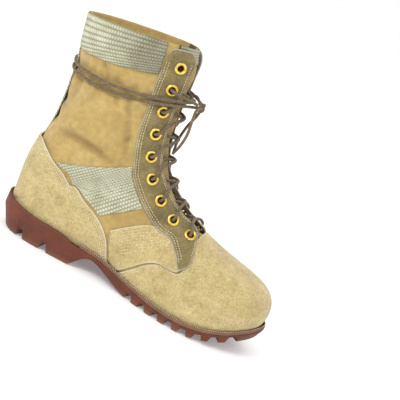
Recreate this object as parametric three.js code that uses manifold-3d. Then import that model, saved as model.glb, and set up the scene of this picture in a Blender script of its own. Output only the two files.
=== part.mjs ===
// Combat boot for the left foot: lugged rubber sole, suede foot, canvas shaft,
// woven bands and a lace through nine eyelets a side.
// Millimetres. +X toe, +Y outer side, +Z up. The origin is on the heel's flat, on the floor.

import * as THREE from 'three';
import { mergeVertices } from 'three/addons/utils/BufferGeometryUtils.js';
import Module from 'manifold-3d';

const wasm = await Module();
wasm.setup();

// Driving sizes of the sole
const soleLength = 305;
const ballWidth = 97;
const heelHeight = 24;
const forefootHeight = 8.2;
const toeSpring = 23;
const archHeight = 15.5;
const heelEdge = 7.7;
const toeEdge = 7.6;
const lugDepth = 5.8;
const heelLugDepth = 8;
const grooveWidth = 9;
const lugReach = 24;
const lugsPerSide = 8;
const lipWidth = 1.9;
const heelLugsPerSide = 3;
const weltHeight = 3.4;
const weltRibPitch = 5.2;
const weltRibDepth = 0.7;
const insoleThickness = 3;
const heelRest = 48;

// Driving sizes of the last and the shaft
const instepHeight = 100;
const shaftHeight = 256;
const shaftDepth = 120;
const toeSwing = 3;

// Layers of the upper
const wall = 1.6;
const suede = 1.6;
const webbing = 1.3;
const gap = 0.4;

// Lacing
const eyeletsPerSide = 9;
const eyeletHole = 3.4;
const eyeletBarrel = 4.2;
const eyeletFlange = 6.4;
const eyeletLip = 1.2;
const eyeletFromEdge = 13;
const eyestayWidth = 31;
const laceDiameter = 3.2;
const tongueThickness = 2.4;
const tongueDepth = 5.6;
const tongueHalfWidth = 33;

// Colours and finishes
const looks = {
  rubber: { color: 0x7c3a2a, roughness: 0.75 },
  weltRubber: { color: 0x8d4a3a, roughness: 0.8 },
  suede: { color: 0xc2a277, roughness: 0.95 },
  canvas: { color: 0xc79a58, roughness: 0.95 },
  webbing: { color: 0xb3aa8a, roughness: 0.95 },
  lining: { color: 0xb8a37c, roughness: 0.95 },
  brass: { color: 0xd9a441, roughness: 0.35, metalness: 0.9 },
  lace: { color: 0x8a6d49, roughness: 0.9 },
};

// Table helpers

function table(columns, rows) {
  const names = columns.split(' ');
  return rows.map((row) => Object.fromEntries(names.map((name, k) => [name, row[k]])));
}

// Smooth curve through a table's rows, held level past both ends
function curve(rows, key, column) {
  const x = rows.map((row) => row[key]);
  const y = rows.map((row) => row[column]);
  const last = x.length - 1;
  const slope = x.map((_, k) => {
    const before = Math.max(k - 1, 0);
    const after = Math.min(k + 1, last);
    return (y[after] - y[before]) / (x[after] - x[before]);
  });
  return (at) => {
    if (at <= x[0]) return y[0];
    if (at >= x[last]) return y[last];
    let k = 0;
    while (at > x[k + 1]) k += 1;
    const step = x[k + 1] - x[k];
    const s = (at - x[k]) / step;
    const s2 = s * s;
    const s3 = s2 * s;
    const start = y[k] * (2 * s3 - 3 * s2 + 1) + step * slope[k] * (s3 - 2 * s2 + s);
    return start + y[k + 1] * (3 * s2 - 2 * s3) + step * slope[k + 1] * (s3 - s2);
  };
}

const clamp = (value, low, high) => Math.min(Math.max(value, low), high);

function ease(value, from, to) {
  const s = clamp((value - from) / (to - from), 0, 1);
  return s * s * (3 - 2 * s);
}

// Sole line: where the upper meets the sole, seen from above.
// along is a share of its length from the heel, inner and outer are shares of half the ball width.

const lineStart = heelEdge;
const lineLength = soleLength - heelEdge - toeEdge;
const turnOf = (along) => Math.acos(clamp(1 - 2 * along, -1, 1));
const alongOf = (turn) => (1 - Math.cos(turn)) / 2;

const lineRows = table('along inner outer', [
  [0, 0, 0],
  [0.04, 0.5, 0.5],
  [0.1, 0.64, 0.64],
  [0.18, 0.675, 0.68],
  [0.3, 0.635, 0.675],
  [0.42, 0.575, 0.72],
  [0.55, 0.73, 0.84],
  [0.66, 0.925, 0.94],
  [0.73, 0.99, 1.0],
  [0.8, 0.97, 0.965],
  [0.88, 0.85, 0.82],
  [0.94, 0.635, 0.61],
  [0.98, 0.39, 0.38],
  [1, 0, 0],
]).map((row) => ({ ...row, turn: turnOf(row.along) }));

const lineInner = curve(lineRows, 'turn', 'inner');
const lineOuter = curve(lineRows, 'turn', 'outer');
const lineX = (along) => lineStart + lineLength * along;
const centreY = (x) => -toeSwing * ease(x / soleLength, 0.62, 1);
const lineHalf = (side, turn) => (side < 0 ? lineInner : lineOuter)(turn) * ballWidth / 2;

// Heights under the upper: the sole's top, as shares of heel height and toe spring
const topRows = table('along heel spring', [
  [0, 1, 0],
  [0.15, 0.97, 0],
  [0.3, 0.9, 0],
  [0.4, 0.74, 0],
  [0.5, 0.4, 0],
  [0.6, 0.12, 0],
  [0.7, 0, 0],
  [0.76, 0, 0.01],
  [0.82, 0, 0.09],
  [0.88, 0, 0.28],
  [0.94, 0, 0.58],
  [1, 0, 1],
]);
const topHeel = curve(topRows, 'along', 'heel');
const topSpring = curve(topRows, 'along', 'spring');
const soleTop = (along) =>
  forefootHeight + topHeel(along) * (heelHeight - forefootHeight) + topSpring(along) * toeSpring;

// Side of the sole: how far it stands out past the sole line, at its rim and at the floor,
// and how high the rim rises above the sole's top
const sideRows = table('along rim foot lip', [
  [0, 7.7, -2, 11],
  [0.04, 7.5, 0, 9],
  [0.12, 6.8, 2.5, 5.6],
  [0.24, 6.8, 4.2, 4.2],
  [0.3, 7, 4.8, 0],
  [0.4, 7.6, 5.4, 0],
  [0.55, 7.2, 5.4, 0],
  [0.75, 6.9, 5.6, 0],
  [0.9, 7.1, 5, 0],
  [1, 7.6, 3.8, 0],
]);
const sideRim = curve(sideRows, 'along', 'rim');
const sideFoot = curve(sideRows, 'along', 'foot');
const lipCurve = curve(sideRows, 'along', 'lip');
const sideLip = (along) => Math.max(lipCurve(along), 0);

// The sole's underside: shares of arch height and toe spring
const underRows = table('along arch spring', [
  [0, 0, 0],
  [0.29, 0, 0],
  [0.305, 0.06, 0],
  [0.345, 0.8, 0],
  [0.375, 1, 0],
  [0.44, 0.66, 0],
  [0.5, 0.26, 0],
  [0.56, 0, 0],
  [0.78, 0, 0],
  [0.84, 0, 0.1],
  [0.9, 0, 0.32],
  [0.95, 0, 0.6],
  [1, 0, 0.92],
]);
const underArch = curve(underRows, 'along', 'arch');
const underSpring = curve(underRows, 'along', 'spring');
const soleUnder = (along) =>
  underArch(along) * archHeight + Math.max(underSpring(along), 0) * toeSpring;

function linePoint(side, turn) {
  const x = lineX(alongOf(turn));
  return new THREE.Vector2(x, centreY(x) + side * lineHalf(side, turn));
}

// Point on the sole line moved outwards, level, by a distance
function lineOffset(side, turn, distance) {
  const point = linePoint(side, turn);
  const step = 0.02;
  const from = linePoint(side, Math.max(turn - step, 0));
  const to = linePoint(side, Math.min(turn + step, Math.PI));
  const along = to.sub(from).normalize();
  let out = new THREE.Vector2(-side * along.y, side * along.x);
  if (turn <= 0) out = new THREE.Vector2(-1, 0);
  if (turn >= Math.PI) out = new THREE.Vector2(1, 0);
  return point.addScaledVector(out, distance);
}

// Cross sections of the last, a fan from the toe tip round the instep to the collar.
// Each lies in a plane from a point on the sole line or the back seam to the ridge of the foot.

// along: the foot of the section on the sole line. ridgeX: share of the sole's length.
// ridgeZ: share of the instep height. inner, outer: half widths as shares of half the ball width.
// widest: how far up the section is widest. full: 2 is an ellipse. round: 0.5 is an ellipse below.
const footRows = table('along ridgeX ridgeZ inner outer widest full round', [
  [1, 0.978, 0.32, 0, 0, 0.3, 2, 0.8],
  [0.985, 0.986, 0.445, 0.385, 0.375, 0.3, 2, 0.8],
  [0.955, 0.978, 0.565, 0.6, 0.585, 0.3, 2.05, 0.8],
  [0.91, 0.95, 0.66, 0.79, 0.775, 0.28, 2.1, 0.8],
  [0.85, 0.898, 0.725, 0.955, 0.935, 0.26, 2.1, 0.8],
  [0.77, 0.822, 0.775, 1.035, 1.035, 0.25, 2, 0.8],
  [0.68, 0.74, 0.832, 1.01, 1.02, 0.25, 1.9, 0.8],
  [0.58, 0.667, 0.9, 0.92, 0.95, 0.27, 1.78, 0.8],
  [0.47, 0.609, 0.975, 0.79, 0.845, 0.31, 1.72, 0.8],
  [0.36, 0.567, 1.06, 0.74, 0.785, 0.35, 1.72, 0.8],
  [0.24, 0.528, 1.165, 0.73, 0.755, 0.39, 1.76, 0.8],
  [0.12, 0.495, 1.28, 0.735, 0.75, 0.42, 1.82, 0.8],
  [0.03, 0.472, 1.38, 0.745, 0.75, 0.44, 1.87, 0.74],
]);

// backX, ridgeX: shares of the shaft's depth from the back of the sole line.
// backZ: share of the way from the sole's top to the shaft's top. ridgeZ: from the instep to it.
const shaftRows = table('backX backZ ridgeX ridgeZ inner outer widest full round', [
  [0, 0, 1.11, 0.3, 0.75, 0.75, 0.45, 1.9, 0.42],
  [-0.018, 0.088, 1.08, 0.372, 0.75, 0.75, 0.46, 1.92, 0.42],
  [-0.03, 0.184, 1.055, 0.452, 0.742, 0.742, 0.47, 1.95, 0.43],
  [-0.01, 0.295, 1.036, 0.538, 0.728, 0.728, 0.47, 1.98, 0.45],
  [0.03, 0.41, 1.027, 0.622, 0.71, 0.71, 0.47, 2, 0.47],
  [0.036, 0.526, 1.022, 0.699, 0.7, 0.7, 0.47, 2, 0.48],
  [0.024, 0.628, 1.018, 0.772, 0.692, 0.692, 0.47, 2, 0.48],
  [0.01, 0.715, 1.01, 0.846, 0.685, 0.685, 0.47, 2, 0.48],
  [-0.025, 0.793, 0.99, 0.917, 0.73, 0.73, 0.47, 2.05, 0.48],
  [-0.07, 0.927, 0.958, 1, 0.775, 0.775, 0.47, 2.1, 0.48],
]);

const footLineZ = (along) => soleTop(along) + gap;
const shaftBaseZ = footLineZ(0);
const heelRow = footRows.length;

const sectionRows = [
  ...footRows.map((row) => ({
    turn: turnOf(row.along),
    backX: lineX(row.along),
    backZ: footLineZ(row.along),
    ridgeX: row.ridgeX * soleLength,
    ridgeZ: row.along === 1 ? footLineZ(1) : row.ridgeZ * instepHeight,
    inner: row.inner,
    outer: row.outer,
    widest: row.widest,
    full: row.full,
    round: row.round,
  })),
  ...shaftRows.map((row) => ({
    turn: 0,
    backX: lineStart + row.backX * shaftDepth,
    backZ: shaftBaseZ + row.backZ * (shaftHeight - shaftBaseZ),
    ridgeX: lineStart + row.ridgeX * shaftDepth,
    ridgeZ: instepHeight + row.ridgeZ * (shaftHeight - instepHeight),
    inner: row.inner,
    outer: row.outer,
    widest: row.widest,
    full: row.full,
    round: row.round,
  })),
].map((row, index) => ({ ...row, index }));

const lastRow = sectionRows.length - 1;
const sectionCurve = Object.fromEntries(
  Object.keys(sectionRows[0]).map((name) => [name, curve(sectionRows, 'index', name)]),
);

// Section at a place t along the fan: both halves as points evenly spaced from ridge to foot
const sectionStore = new Map();
const halfSteps = 120;

function section(t) {
  const key = Math.round(t * 1e5);
  if (sectionStore.has(key)) return sectionStore.get(key);
  const value = (name) => sectionCurve[name](clamp(t, 0, lastRow));
  const turn = t >= heelRow ? 0 : value('turn');
  const onLine = t < heelRow;
  const back = onLine
    ? new THREE.Vector2(lineX(alongOf(turn)), footLineZ(alongOf(turn)))
    : new THREE.Vector2(value('backX'), value('backZ'));
  const ridge = new THREE.Vector2(value('ridgeX'), value('ridgeZ'));
  const up = ridge.clone().sub(back);
  const past = Math.max(t - lastRow, 0);
  const result = { back, up, past, halves: {} };
  for (const side of [-1, 1]) {
    const foot = onLine ? lineHalf(side, turn) : 0;
    const half = Math.max(value(side < 0 ? 'inner' : 'outer') * ballWidth / 2, foot);
    const widest = value('widest');
    const points = [];
    for (let k = 0; k <= halfSteps; k += 1) {
      const angle = (1 - k / halfSteps) * Math.PI / 2;
      const power = 2 / value('full');
      points.push([widest + (1 - widest) * Math.sin(angle) ** power, half * Math.cos(angle) ** power]);
    }
    for (let k = 1; k <= halfSteps; k += 1) {
      const angle = k / halfSteps * Math.PI / 2;
      const swell = Math.max(Math.cos(angle), 0) ** (2 * value('round'));
      points.push([widest * (1 - Math.sin(angle)), foot + (half - foot) * swell]);
    }
    result.halves[side] = evenly(points, up.length());
  }
  sectionStore.set(key, result);
  return result;
}

// Arc lengths along a half section, for finding a point by its distance from the ridge
function evenly(points, height) {
  const reach = [0];
  for (let k = 1; k < points.length; k += 1) {
    const rise = (points[k][0] - points[k - 1][0]) * height;
    reach.push(reach[k - 1] + Math.hypot(rise, points[k][1] - points[k - 1][1]));
  }
  return { points, reach, length: reach[reach.length - 1] };
}

// Point of the last's surface. t runs along the fan, a from the ridge (0) to the foot or the
// back seam: -1 on the inner side, 1 on the outer side.
function surface(t, a) {
  const wrapped = Math.abs(a) > 1 && t >= heelRow ? a - 2 * Math.sign(a) : clamp(a, -1, 1);
  const side = wrapped < 0 ? -1 : 1;
  const cut = section(Math.max(t, 0));
  const { points, reach, length } = cut.halves[side];
  const target = Math.abs(wrapped) * length;
  let low = 0;
  let high = reach.length - 1;
  while (high - low > 1) {
    const middle = (low + high) >> 1;
    if (reach[middle] > target) high = middle;
    else low = middle;
  }
  const span = reach[high] - reach[low];
  const s = span > 0 ? (target - reach[low]) / span : 0;
  const up = points[low][0] + (points[high][0] - points[low][0]) * s;
  const across = points[low][1] + (points[high][1] - points[low][1]) * s;
  const x = cut.back.x + cut.up.x * up;
  const z = cut.back.y + cut.up.y * up;
  return new THREE.Vector3(x, centreY(x) + side * across, z);
}

const normalStep = 0.03;

function outward(t, a) {
  if (t < 0.05) return new THREE.Vector3(1, 0, 0);
  const along = surface(Math.min(t + normalStep, lastRow), a);
  along.sub(surface(Math.max(Math.min(t, lastRow) - normalStep, 0.02), a));
  const edge = t < heelRow;
  const around = surface(t, edge ? Math.min(a + normalStep, 1) : a + normalStep);
  around.sub(surface(t, edge ? Math.max(a - normalStep, -1) : a - normalStep));
  return around.cross(along).normalize();
}

// Share a of the point that lies a given distance from the ridge along the section
const shareAt = (t, side, distance) => side * distance / section(t).halves[side].length;

// Place (t, a) of the surface point that is seen at x, z from the side
function locate(side, x, z) {
  let best = { t: 0, a: side * 0.5, miss: Infinity };
  const measure = (t, a) => {
    const point = surface(t, a);
    return Math.hypot(point.x - x, point.z - z);
  };
  for (let t = 0.5; t <= lastRow; t += 0.25) {
    for (let share = 0.02; share <= 1; share += 0.04) {
      const miss = measure(t, side * share);
      if (miss < best.miss) best = { t, a: side * share, miss };
    }
  }
  for (let step = 0.3; step > 1e-4; step *= 0.8) {
    for (const [dt, da] of [[1, 0], [-1, 0], [0, 1], [0, -1], [1, 1], [-1, -1], [1, -1], [-1, 1]]) {
      const t = clamp(best.t + dt * step, 0.05, lastRow);
      const share = clamp(Math.abs(best.a) + da * step * 0.15, 0.01, 1);
      const miss = measure(t, side * share);
      if (miss < best.miss) best = { t, a: side * share, miss };
    }
  }
  return best;
}

// Solids

function meshOf(name, look, geometry) {
  const mesh = new THREE.Mesh(geometry, new THREE.MeshStandardMaterial(looks[look]));
  mesh.name = name;
  return mesh;
}

function geometryOf(triangles) {
  const positions = [];
  for (const triangle of triangles) {
    for (const corner of triangle) positions.push(corner.x, corner.y, corner.z);
  }
  const loose = new THREE.BufferGeometry();
  loose.setAttribute('position', new THREE.Float32BufferAttribute(positions, 3));
  return welded(loose);
}

function welded(source) {
  const bare = source.clone();
  for (const name of Object.keys(bare.attributes)) {
    if (name !== 'position') bare.deleteAttribute(name);
  }
  const merged = mergeVertices(bare.index ? bare.toNonIndexed() : bare, 1e-3);
  const index = merged.index.array;
  const kept = [];
  for (let k = 0; k < index.length; k += 3) {
    const [i, j, m] = [index[k], index[k + 1], index[k + 2]];
    if (i !== j && j !== m && m !== i) kept.push(i, j, m);
  }
  merged.setIndex(kept);
  if (volumeOf(merged) < 0) merged.setIndex(kept.map((_, k) => kept[k - (k % 3) + (2 - (k % 3))]));
  return merged;
}

function volumeOf(geometry) {
  const place = geometry.attributes.position;
  const corner = (k) => new THREE.Vector3().fromBufferAttribute(place, geometry.index.getX(k));
  let sum = 0;
  for (let k = 0; k < geometry.index.count; k += 3) {
    sum += corner(k).dot(corner(k + 1).cross(corner(k + 2)));
  }
  return sum / 6;
}

function solidOf(geometry) {
  const merged = welded(geometry);
  const vertProperties = new Float32Array(merged.attributes.position.array);
  const triVerts = new Uint32Array(merged.index.array);
  return new wasm.Manifold(new wasm.Mesh({ numProp: 3, vertProperties, triVerts }));
}

function geometryOfSolid(solid) {
  const { vertProperties, triVerts, numProp } = solid.getMesh();
  const positions = new Float32Array(vertProperties.length / numProp * 3);
  for (let k = 0; k < positions.length / 3; k += 1) {
    for (let c = 0; c < 3; c += 1) positions[k * 3 + c] = vertProperties[k * numProp + c];
  }
  const geometry = new THREE.BufferGeometry();
  geometry.setAttribute('position', new THREE.BufferAttribute(positions, 3));
  geometry.setIndex(new THREE.BufferAttribute(new Uint32Array(triVerts), 1));
  return welded(geometry);
}

// Closed solid from a sheet of surface places: its two faces and the rim between them.
// grids: lists of rows of {t, a}. low and high: heights above the last, as functions of a place.
function thicken(grids, low, high) {
  const places = new Map();
  const list = [];
  const indexOf = (place) => {
    const point = surface(place.t, place.a);
    const key = [point.x, point.y, point.z].map((value) => Math.round(value * 200)).join(',');
    if (!places.has(key)) {
      places.set(key, list.length);
      list.push({ ...place, point, out: outward(place.t, place.a) });
    }
    return places.get(key);
  };
  const faces = [];
  const addFace = (i, j, k) => {
    if (i !== j && j !== k && k !== i) faces.push([i, j, k]);
  };
  for (const grid of grids) {
    const indexed = grid.map((row) => row.map(indexOf));
    for (let r = 0; r + 1 < indexed.length; r += 1) {
      for (let c = 0; c + 1 < indexed[r].length; c += 1) {
        const [i, j] = [indexed[r][c], indexed[r][c + 1]];
        const [k, m] = [indexed[r + 1][c], indexed[r + 1][c + 1]];
        const acrossFirst = list[i].point.distanceTo(list[m].point);
        if (acrossFirst <= list[j].point.distanceTo(list[k].point)) {
          addFace(i, j, m);
          addFace(i, m, k);
        } else {
          addFace(i, j, k);
          addFace(j, m, k);
        }
      }
    }
  }
  const raised = (place, height) => {
    const out = place.out.clone();
    if (Math.abs(place.a) === 1 && place.t <= heelRow) out.setZ(0).normalize();
    return place.point.clone().addScaledVector(out, height(place));
  };
  const outer = list.map((place) => raised(place, high));
  const inner = list.map((place) => raised(place, low));
  const edges = new Map();
  for (const [i, j, k] of faces) {
    for (const [from, to] of [[i, j], [j, k], [k, i]]) edges.set(`${from},${to}`, [from, to]);
  }
  const triangles = [];
  for (const [i, j, k] of faces) {
    triangles.push([outer[i], outer[j], outer[k]]);
    triangles.push([inner[i], inner[k], inner[j]]);
  }
  for (const [from, to] of edges.values()) {
    if (edges.has(`${to},${from}`)) continue;
    triangles.push([outer[from], inner[from], outer[to]]);
    triangles.push([outer[to], inner[from], inner[to]]);
  }
  return geometryOf(triangles);
}

const level = (height) => () => height;

// Grid between two edges: each edge is a function of s in 0 to 1 that gives a place
function ruled(first, second, rows, columns) {
  return Array.from({ length: rows + 1 }, (_, r) => {
    const from = first(r / rows);
    const to = second(r / rows);
    return Array.from({ length: columns + 1 }, (__, c) => {
      const s = c / columns;
      return { t: from.t + (to.t - from.t) * s, a: from.a + (to.a - from.a) * s };
    });
  });
}

// Edge through places, as a function of s in 0 to 1
function edgeThrough(places) {
  const rows = places.map((place, k) => ({ k: k / (places.length - 1), t: place.t, a: place.a }));
  const t = curve(rows, 'k', 't');
  const a = curve(rows, 'k', 'a');
  return (s) => ({ t: t(s), a: a(s) });
}

// Edge drawn from the side: points as shares of sole length and shaft height
function drawnEdge(side, points) {
  return points.map(([x, z]) => locate(side, x * soleLength, z * shaftHeight));
}

// Place on the back seam at a height, as t
function seamPlace(height) {
  let low = heelRow;
  let high = lastRow;
  for (let k = 0; k < 30; k += 1) {
    const middle = (low + high) / 2;
    if (surface(middle, 1).z < height) low = middle;
    else high = middle;
  }
  return low;
}

// Throat: half its width along the section, from the ridge to the eyestay's front edge
const throatFoot = 6.9;
const throatRows = table('t half', [
  [6, 7],
  [7.2, 8.5],
  [8.5, 11],
  [10, 13.5],
  [12, 16],
  [14, 17.5],
  [17, 17.5],
  [20, 16],
  [22, 14.5],
]);
const throatHalf = curve(throatRows, 't', 'half');
const canvasEdge = (t) => throatHalf(t) + eyeletFromEdge + eyeletFlange + 1;

// Sole

function soleRing(stations, offset, height) {
  const ring = [];
  for (const side of [1, -1]) {
    const turns = side > 0 ? stations : [...stations].reverse();
    for (const turn of turns.slice(0, -1)) {
      const along = alongOf(turn);
      const flat = lineOffset(side, turn, offset(along));
      ring.push(new THREE.Vector3(flat.x, flat.y, height(along)));
    }
  }
  return ring;
}

// Solid from rings stacked from the bottom to the top, closed by rungs across each end
function stacked(rings) {
  const count = rings[0].length;
  const triangles = [];
  for (let k = 0; k + 1 < rings.length; k += 1) {
    for (let i = 0; i < count; i += 1) {
      const j = (i + 1) % count;
      triangles.push([rings[k][i], rings[k][j], rings[k + 1][j]]);
      triangles.push([rings[k][i], rings[k + 1][j], rings[k + 1][i]]);
    }
  }
  const cap = (ring, flip) => {
    for (let i = 0; i < count / 2; i += 1) {
      const [p, q] = [ring[i], ring[i + 1]];
      const [r, s] = [ring[(count - i) % count], ring[count - i - 1]];
      const faces = [[p, s, q], [p, r, s]];
      for (const [u, v, w] of faces) triangles.push(flip ? [u, w, v] : [u, v, w]);
    }
  };
  cap(rings[0], false);
  cap(rings[rings.length - 1], true);
  return geometryOf(triangles);
}

const soleStations = (count) => Array.from({ length: count + 1 }, (_, k) => Math.PI * k / count);

// Rounded notch across the sole's edge, open below
function notch(side, along, depth, width) {
  const turn = turnOf(along);
  const edge = lineOffset(side, turn, sideRim(along) + 8);
  const inner = lineOffset(side, turn, sideRim(along) - lugReach);
  const floor = soleUnder(along);
  const shape = new THREE.Shape();
  shape.moveTo(-width / 2, -floor - 6);
  shape.lineTo(width / 2, -floor - 6);
  shape.lineTo(width * 0.4, depth * 0.55);
  shape.lineTo(width * 0.17, depth);
  shape.lineTo(-width * 0.17, depth);
  shape.lineTo(-width * 0.4, depth * 0.55);
  const reach = edge.clone().sub(inner);
  const bar = new THREE.ExtrudeGeometry(shape, { depth: reach.length(), bevelEnabled: false, steps: 1 });
  const turned = new THREE.Matrix4().makeBasis(
    new THREE.Vector3(-reach.y, reach.x, 0).normalize(),
    new THREE.Vector3(0, 0, 1),
    new THREE.Vector3(reach.x, reach.y, 0).normalize(),
  );
  bar.applyMatrix4(turned);
  bar.translate(inner.x, inner.y, floor);
  return solidOf(bar);
}

function makeOutsole() {
  const stations = soleStations(30);
  const edge = (share) => (along) => sideFoot(along) + (sideRim(along) - sideFoot(along)) * share;
  const between = (share) => (along) =>
    soleUnder(along) + (soleTop(along) - soleUnder(along)) * share;
  const lipInner = (along) => sideRim(along) - lipWidth;
  const rings = [
    soleRing(stations, (along) => edge(0)(along) - 1.2, soleUnder),
    soleRing(stations, edge(0.15), (along) => soleUnder(along) + 1.2),
    soleRing(stations, edge(0.8), between(0.72)),
    soleRing(stations, sideRim, between(0.86)),
    soleRing(stations, sideRim, (along) => soleTop(along) + sideLip(along)),
    soleRing(stations, lipInner, (along) => soleTop(along) + sideLip(along)),
    soleRing(stations, (along) => lipInner(along) - 0.2, soleTop),
  ];
  let sole = solidOf(stacked(rings));
  const cuts = [];
  for (const side of [-1, 1]) {
    for (let k = 0; k < lugsPerSide; k += 1) {
      cuts.push(notch(side, 0.53 + 0.435 * ((k + 0.5) / lugsPerSide) ** 0.92, lugDepth, grooveWidth));
    }
    for (let k = 1; k < heelLugsPerSide; k += 1) {
      cuts.push(notch(side, 0.3 * k / heelLugsPerSide, heelLugDepth, grooveWidth));
    }
  }
  for (const cut of cuts) sole = sole.subtract(cut);
  return meshOf('outsole', 'rubber', geometryOfSolid(sole));
}

// Ribbed strip on the sole's ledge, from the heel breast round the toe
function makeWelt() {
  const start = turnOf(0.32);
  const path = [];
  for (let k = 0; k <= 400; k += 1) {
    const s = k / 400;
    const side = s < 0.5 ? -1 : 1;
    const turn = start + (Math.PI - start) * (1 - Math.abs(2 * s - 1));
    path.push({ side, turn });
  }
  const reach = [0];
  for (let k = 1; k < path.length; k += 1) {
    const from = lineOffset(path[k - 1].side, path[k - 1].turn, toeEdge);
    const to = lineOffset(path[k].side, path[k].turn, toeEdge);
    reach.push(reach[k - 1] + from.distanceTo(to));
  }
  const total = reach[reach.length - 1];
  const at = (distance) => {
    let k = 1;
    while (k < path.length - 1 && reach[k] < distance) k += 1;
    const s = (distance - reach[k - 1]) / (reach[k] - reach[k - 1]);
    const turn = path[k - 1].turn + (path[k].turn - path[k - 1].turn) * s;
    return { side: path[s < 0.5 ? k - 1 : k].side, turn };
  };
  const ribs = Math.round(total / weltRibPitch);
  const bulge = (along) =>
    1.9 * (1 - ease(Math.abs(along - 0.44), 0.06, 0.2)) + 1.6 * ease(along, 0.8, 0.93);
  const inner = (place) => gap + suede + gap + 1.7 + bulge(alongOf(place.turn));
  const outer = (place, dent) => sideRim(alongOf(place.turn)) - 0.2 - dent;
  const pointAt = (place, offset, up) => {
    const flat = lineOffset(place.side, place.turn, offset);
    return new THREE.Vector3(flat.x, flat.y, soleTop(alongOf(place.turn)) + up);
  };
  const low = gap + 0.1;
  const high = weltHeight + gap;
  const ring = (k) => {
    const place = at(total * k / (2 * ribs));
    const dent = k % 2 === 0 ? weltRibDepth : 0;
    return [
      pointAt(place, inner(place), low),
      pointAt(place, outer(place, dent), low),
      pointAt(place, outer(place, dent) - 0.3, high),
      pointAt(place, inner(place), high),
    ];
  };
  const every = 6;
  const triangles = [];
  const quad = (p, q, r, s) => triangles.push([p, q, r], [p, r, s]);
  const rings = Array.from({ length: 2 * ribs + 1 }, (_, k) => ring(k));
  for (let k = 0; k < 2 * ribs; k += 1) {
    quad(rings[k][1], rings[k][2], rings[k + 1][2], rings[k + 1][1]);
  }
  for (let k = 0; k < 2 * ribs; k += every) {
    const end = Math.min(k + every, 2 * ribs);
    const middle = Math.floor((k + end) / 2);
    for (let m = k; m < end; m += 1) {
      const near = m < middle ? rings[k] : rings[end];
      triangles.push([near[0], rings[m][1], rings[m + 1][1]]);
      triangles.push([near[3], rings[m + 1][2], rings[m][2]]);
    }
    triangles.push([rings[k][0], rings[middle][1], rings[end][0]]);
    triangles.push([rings[k][3], rings[end][3], rings[middle][2]]);
    quad(rings[k][0], rings[end][0], rings[end][3], rings[k][3]);
  }
  const first = rings[0];
  const last = rings[2 * ribs];
  quad(first[0], first[3], first[2], first[1]);
  quad(last[0], last[1], last[2], last[3]);
  return meshOf('welt', 'weltRubber', geometryOf(triangles));
}

function makeInsole() {
  const stations = soleStations(24);
  const inset = () => -(wall + gap + 0.9);
  const at = (up) => (along) => soleTop(along) + gap + up;
  const rings = [
    soleRing(stations, inset, at(0)),
    soleRing(stations, inset, at(insoleThickness * 0.6)),
    soleRing(stations, () => inset() - 2, at(insoleThickness)),
  ];
  return meshOf('insole', 'lining', stacked(rings));
}

// Upper

function makeUpper() {
  const rowsBefore = [0, 0.35, 0.8, 1.3, 1.9, 2.5, 3.2, 4, 4.8, 5.5, 6.1, 6.5, throatFoot];
  const rowsAtHeel = [11.2, 11.7, 12.2, 12.6, heelRow, heelRow + 0.5];
  const rowsOfShaft = [14.3, 15.2, 16, 17.2, 18.5, 19.8, 20.9, lastRow];
  const rowsAfter = [throatFoot, 7.5, 8.1, 8.7, 9.3, 9.9, 10.6, ...rowsAtHeel, ...rowsOfShaft];
  const sideColumns = 6;
  const coverColumns = 3;
  const grids = [];
  for (const side of [-1, 1]) {
    const edge = (t) => shareAt(t, side, canvasEdge(t) * Math.min(t / 3, 1));
    const cover = (t) => (t === 0 ? side * 0.4 : edge(t));
    const rows = [...rowsBefore, ...rowsAfter.slice(1)];
    grids.push(rows.map((t) => Array.from({ length: sideColumns + 1 }, (_, c) => ({
      t,
      a: c === sideColumns ? side : cover(t) + (side - cover(t)) * c / sideColumns,
    }))));
    grids.push(rowsBefore.map((t) => Array.from({ length: coverColumns + 1 }, (_, c) => ({
      t,
      a: cover(t) * c / coverColumns,
    }))));
  }
  const flip = (grid) => grid.map((row) => [...row].reverse());
  const facing = [grids[0], grids[1], flip(grids[2]), flip(grids[3])];
  return meshOf('upper', 'canvas', thicken(facing, level(-wall), level(0)));
}

// Edges drawn from the side, as shares of sole length and shaft height
const counterFront = [
  [0.052, 0.398],
  [0.123, 0.35],
  [0.212, 0.3],
  [0.3, 0.256],
  [0.352, 0.226],
  [0.392, 0.185],
  [0.415, 0.145],
];
const counterTop = 0.405;
const counterFootAlong = 0.44;
const counterEase = 0.35;

const counterFootRows = [8.7, 9, 9.4, 9.9, 10.5, 11.1, 11.5, 11.9, 12.25, 12.6];
const counterRows = [...counterFootRows, heelRow, 13.4, 13.9, 14.5, 15.2, 15.9];

function makeCounter() {
  const grids = [];
  for (const side of [-1, 1]) {
    const top = { t: seamPlace(counterTop * shaftHeight), a: side };
    const foot = { t: placeOnLine(counterFootAlong), a: side };
    const drawn = [foot, ...drawnEdge(side, counterFront).reverse(), top];
    const front = curve(drawn.map(({ t, a }) => ({ t, share: Math.abs(a) })), 't', 'share');
    const rows = [foot.t, ...counterRows, top.t];
    const columns = 7;
    const grid = rows.map((t) => Array.from({ length: columns + 1 }, (_, c) => {
      const share = Math.min(front(t), 1);
      return { t, a: side * (share + (1 - share) * (c / columns) ** 0.85) };
    }));
    grids.push(side > 0 ? grid : grid.map((row) => [...row].reverse()));
  }
  const low = (place) =>
    gap + counterEase * (ease(Math.abs(place.a), 0.55, 0.9) + 4 * ease(place.t, 14.6, 16));
  const high = (place) => low(place) + suede;
  return meshOf('counter', 'suede', thicken(grids, low, high));
}

// Place t of the section whose foot stands at a share along the sole line
function placeOnLine(along) {
  let low = 0;
  let high = heelRow;
  for (let k = 0; k < 30; k += 1) {
    const middle = (low + high) / 2;
    if (surface(middle, 1).x > lineX(along)) low = middle;
    else high = middle;
  }
  return low;
}

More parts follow.
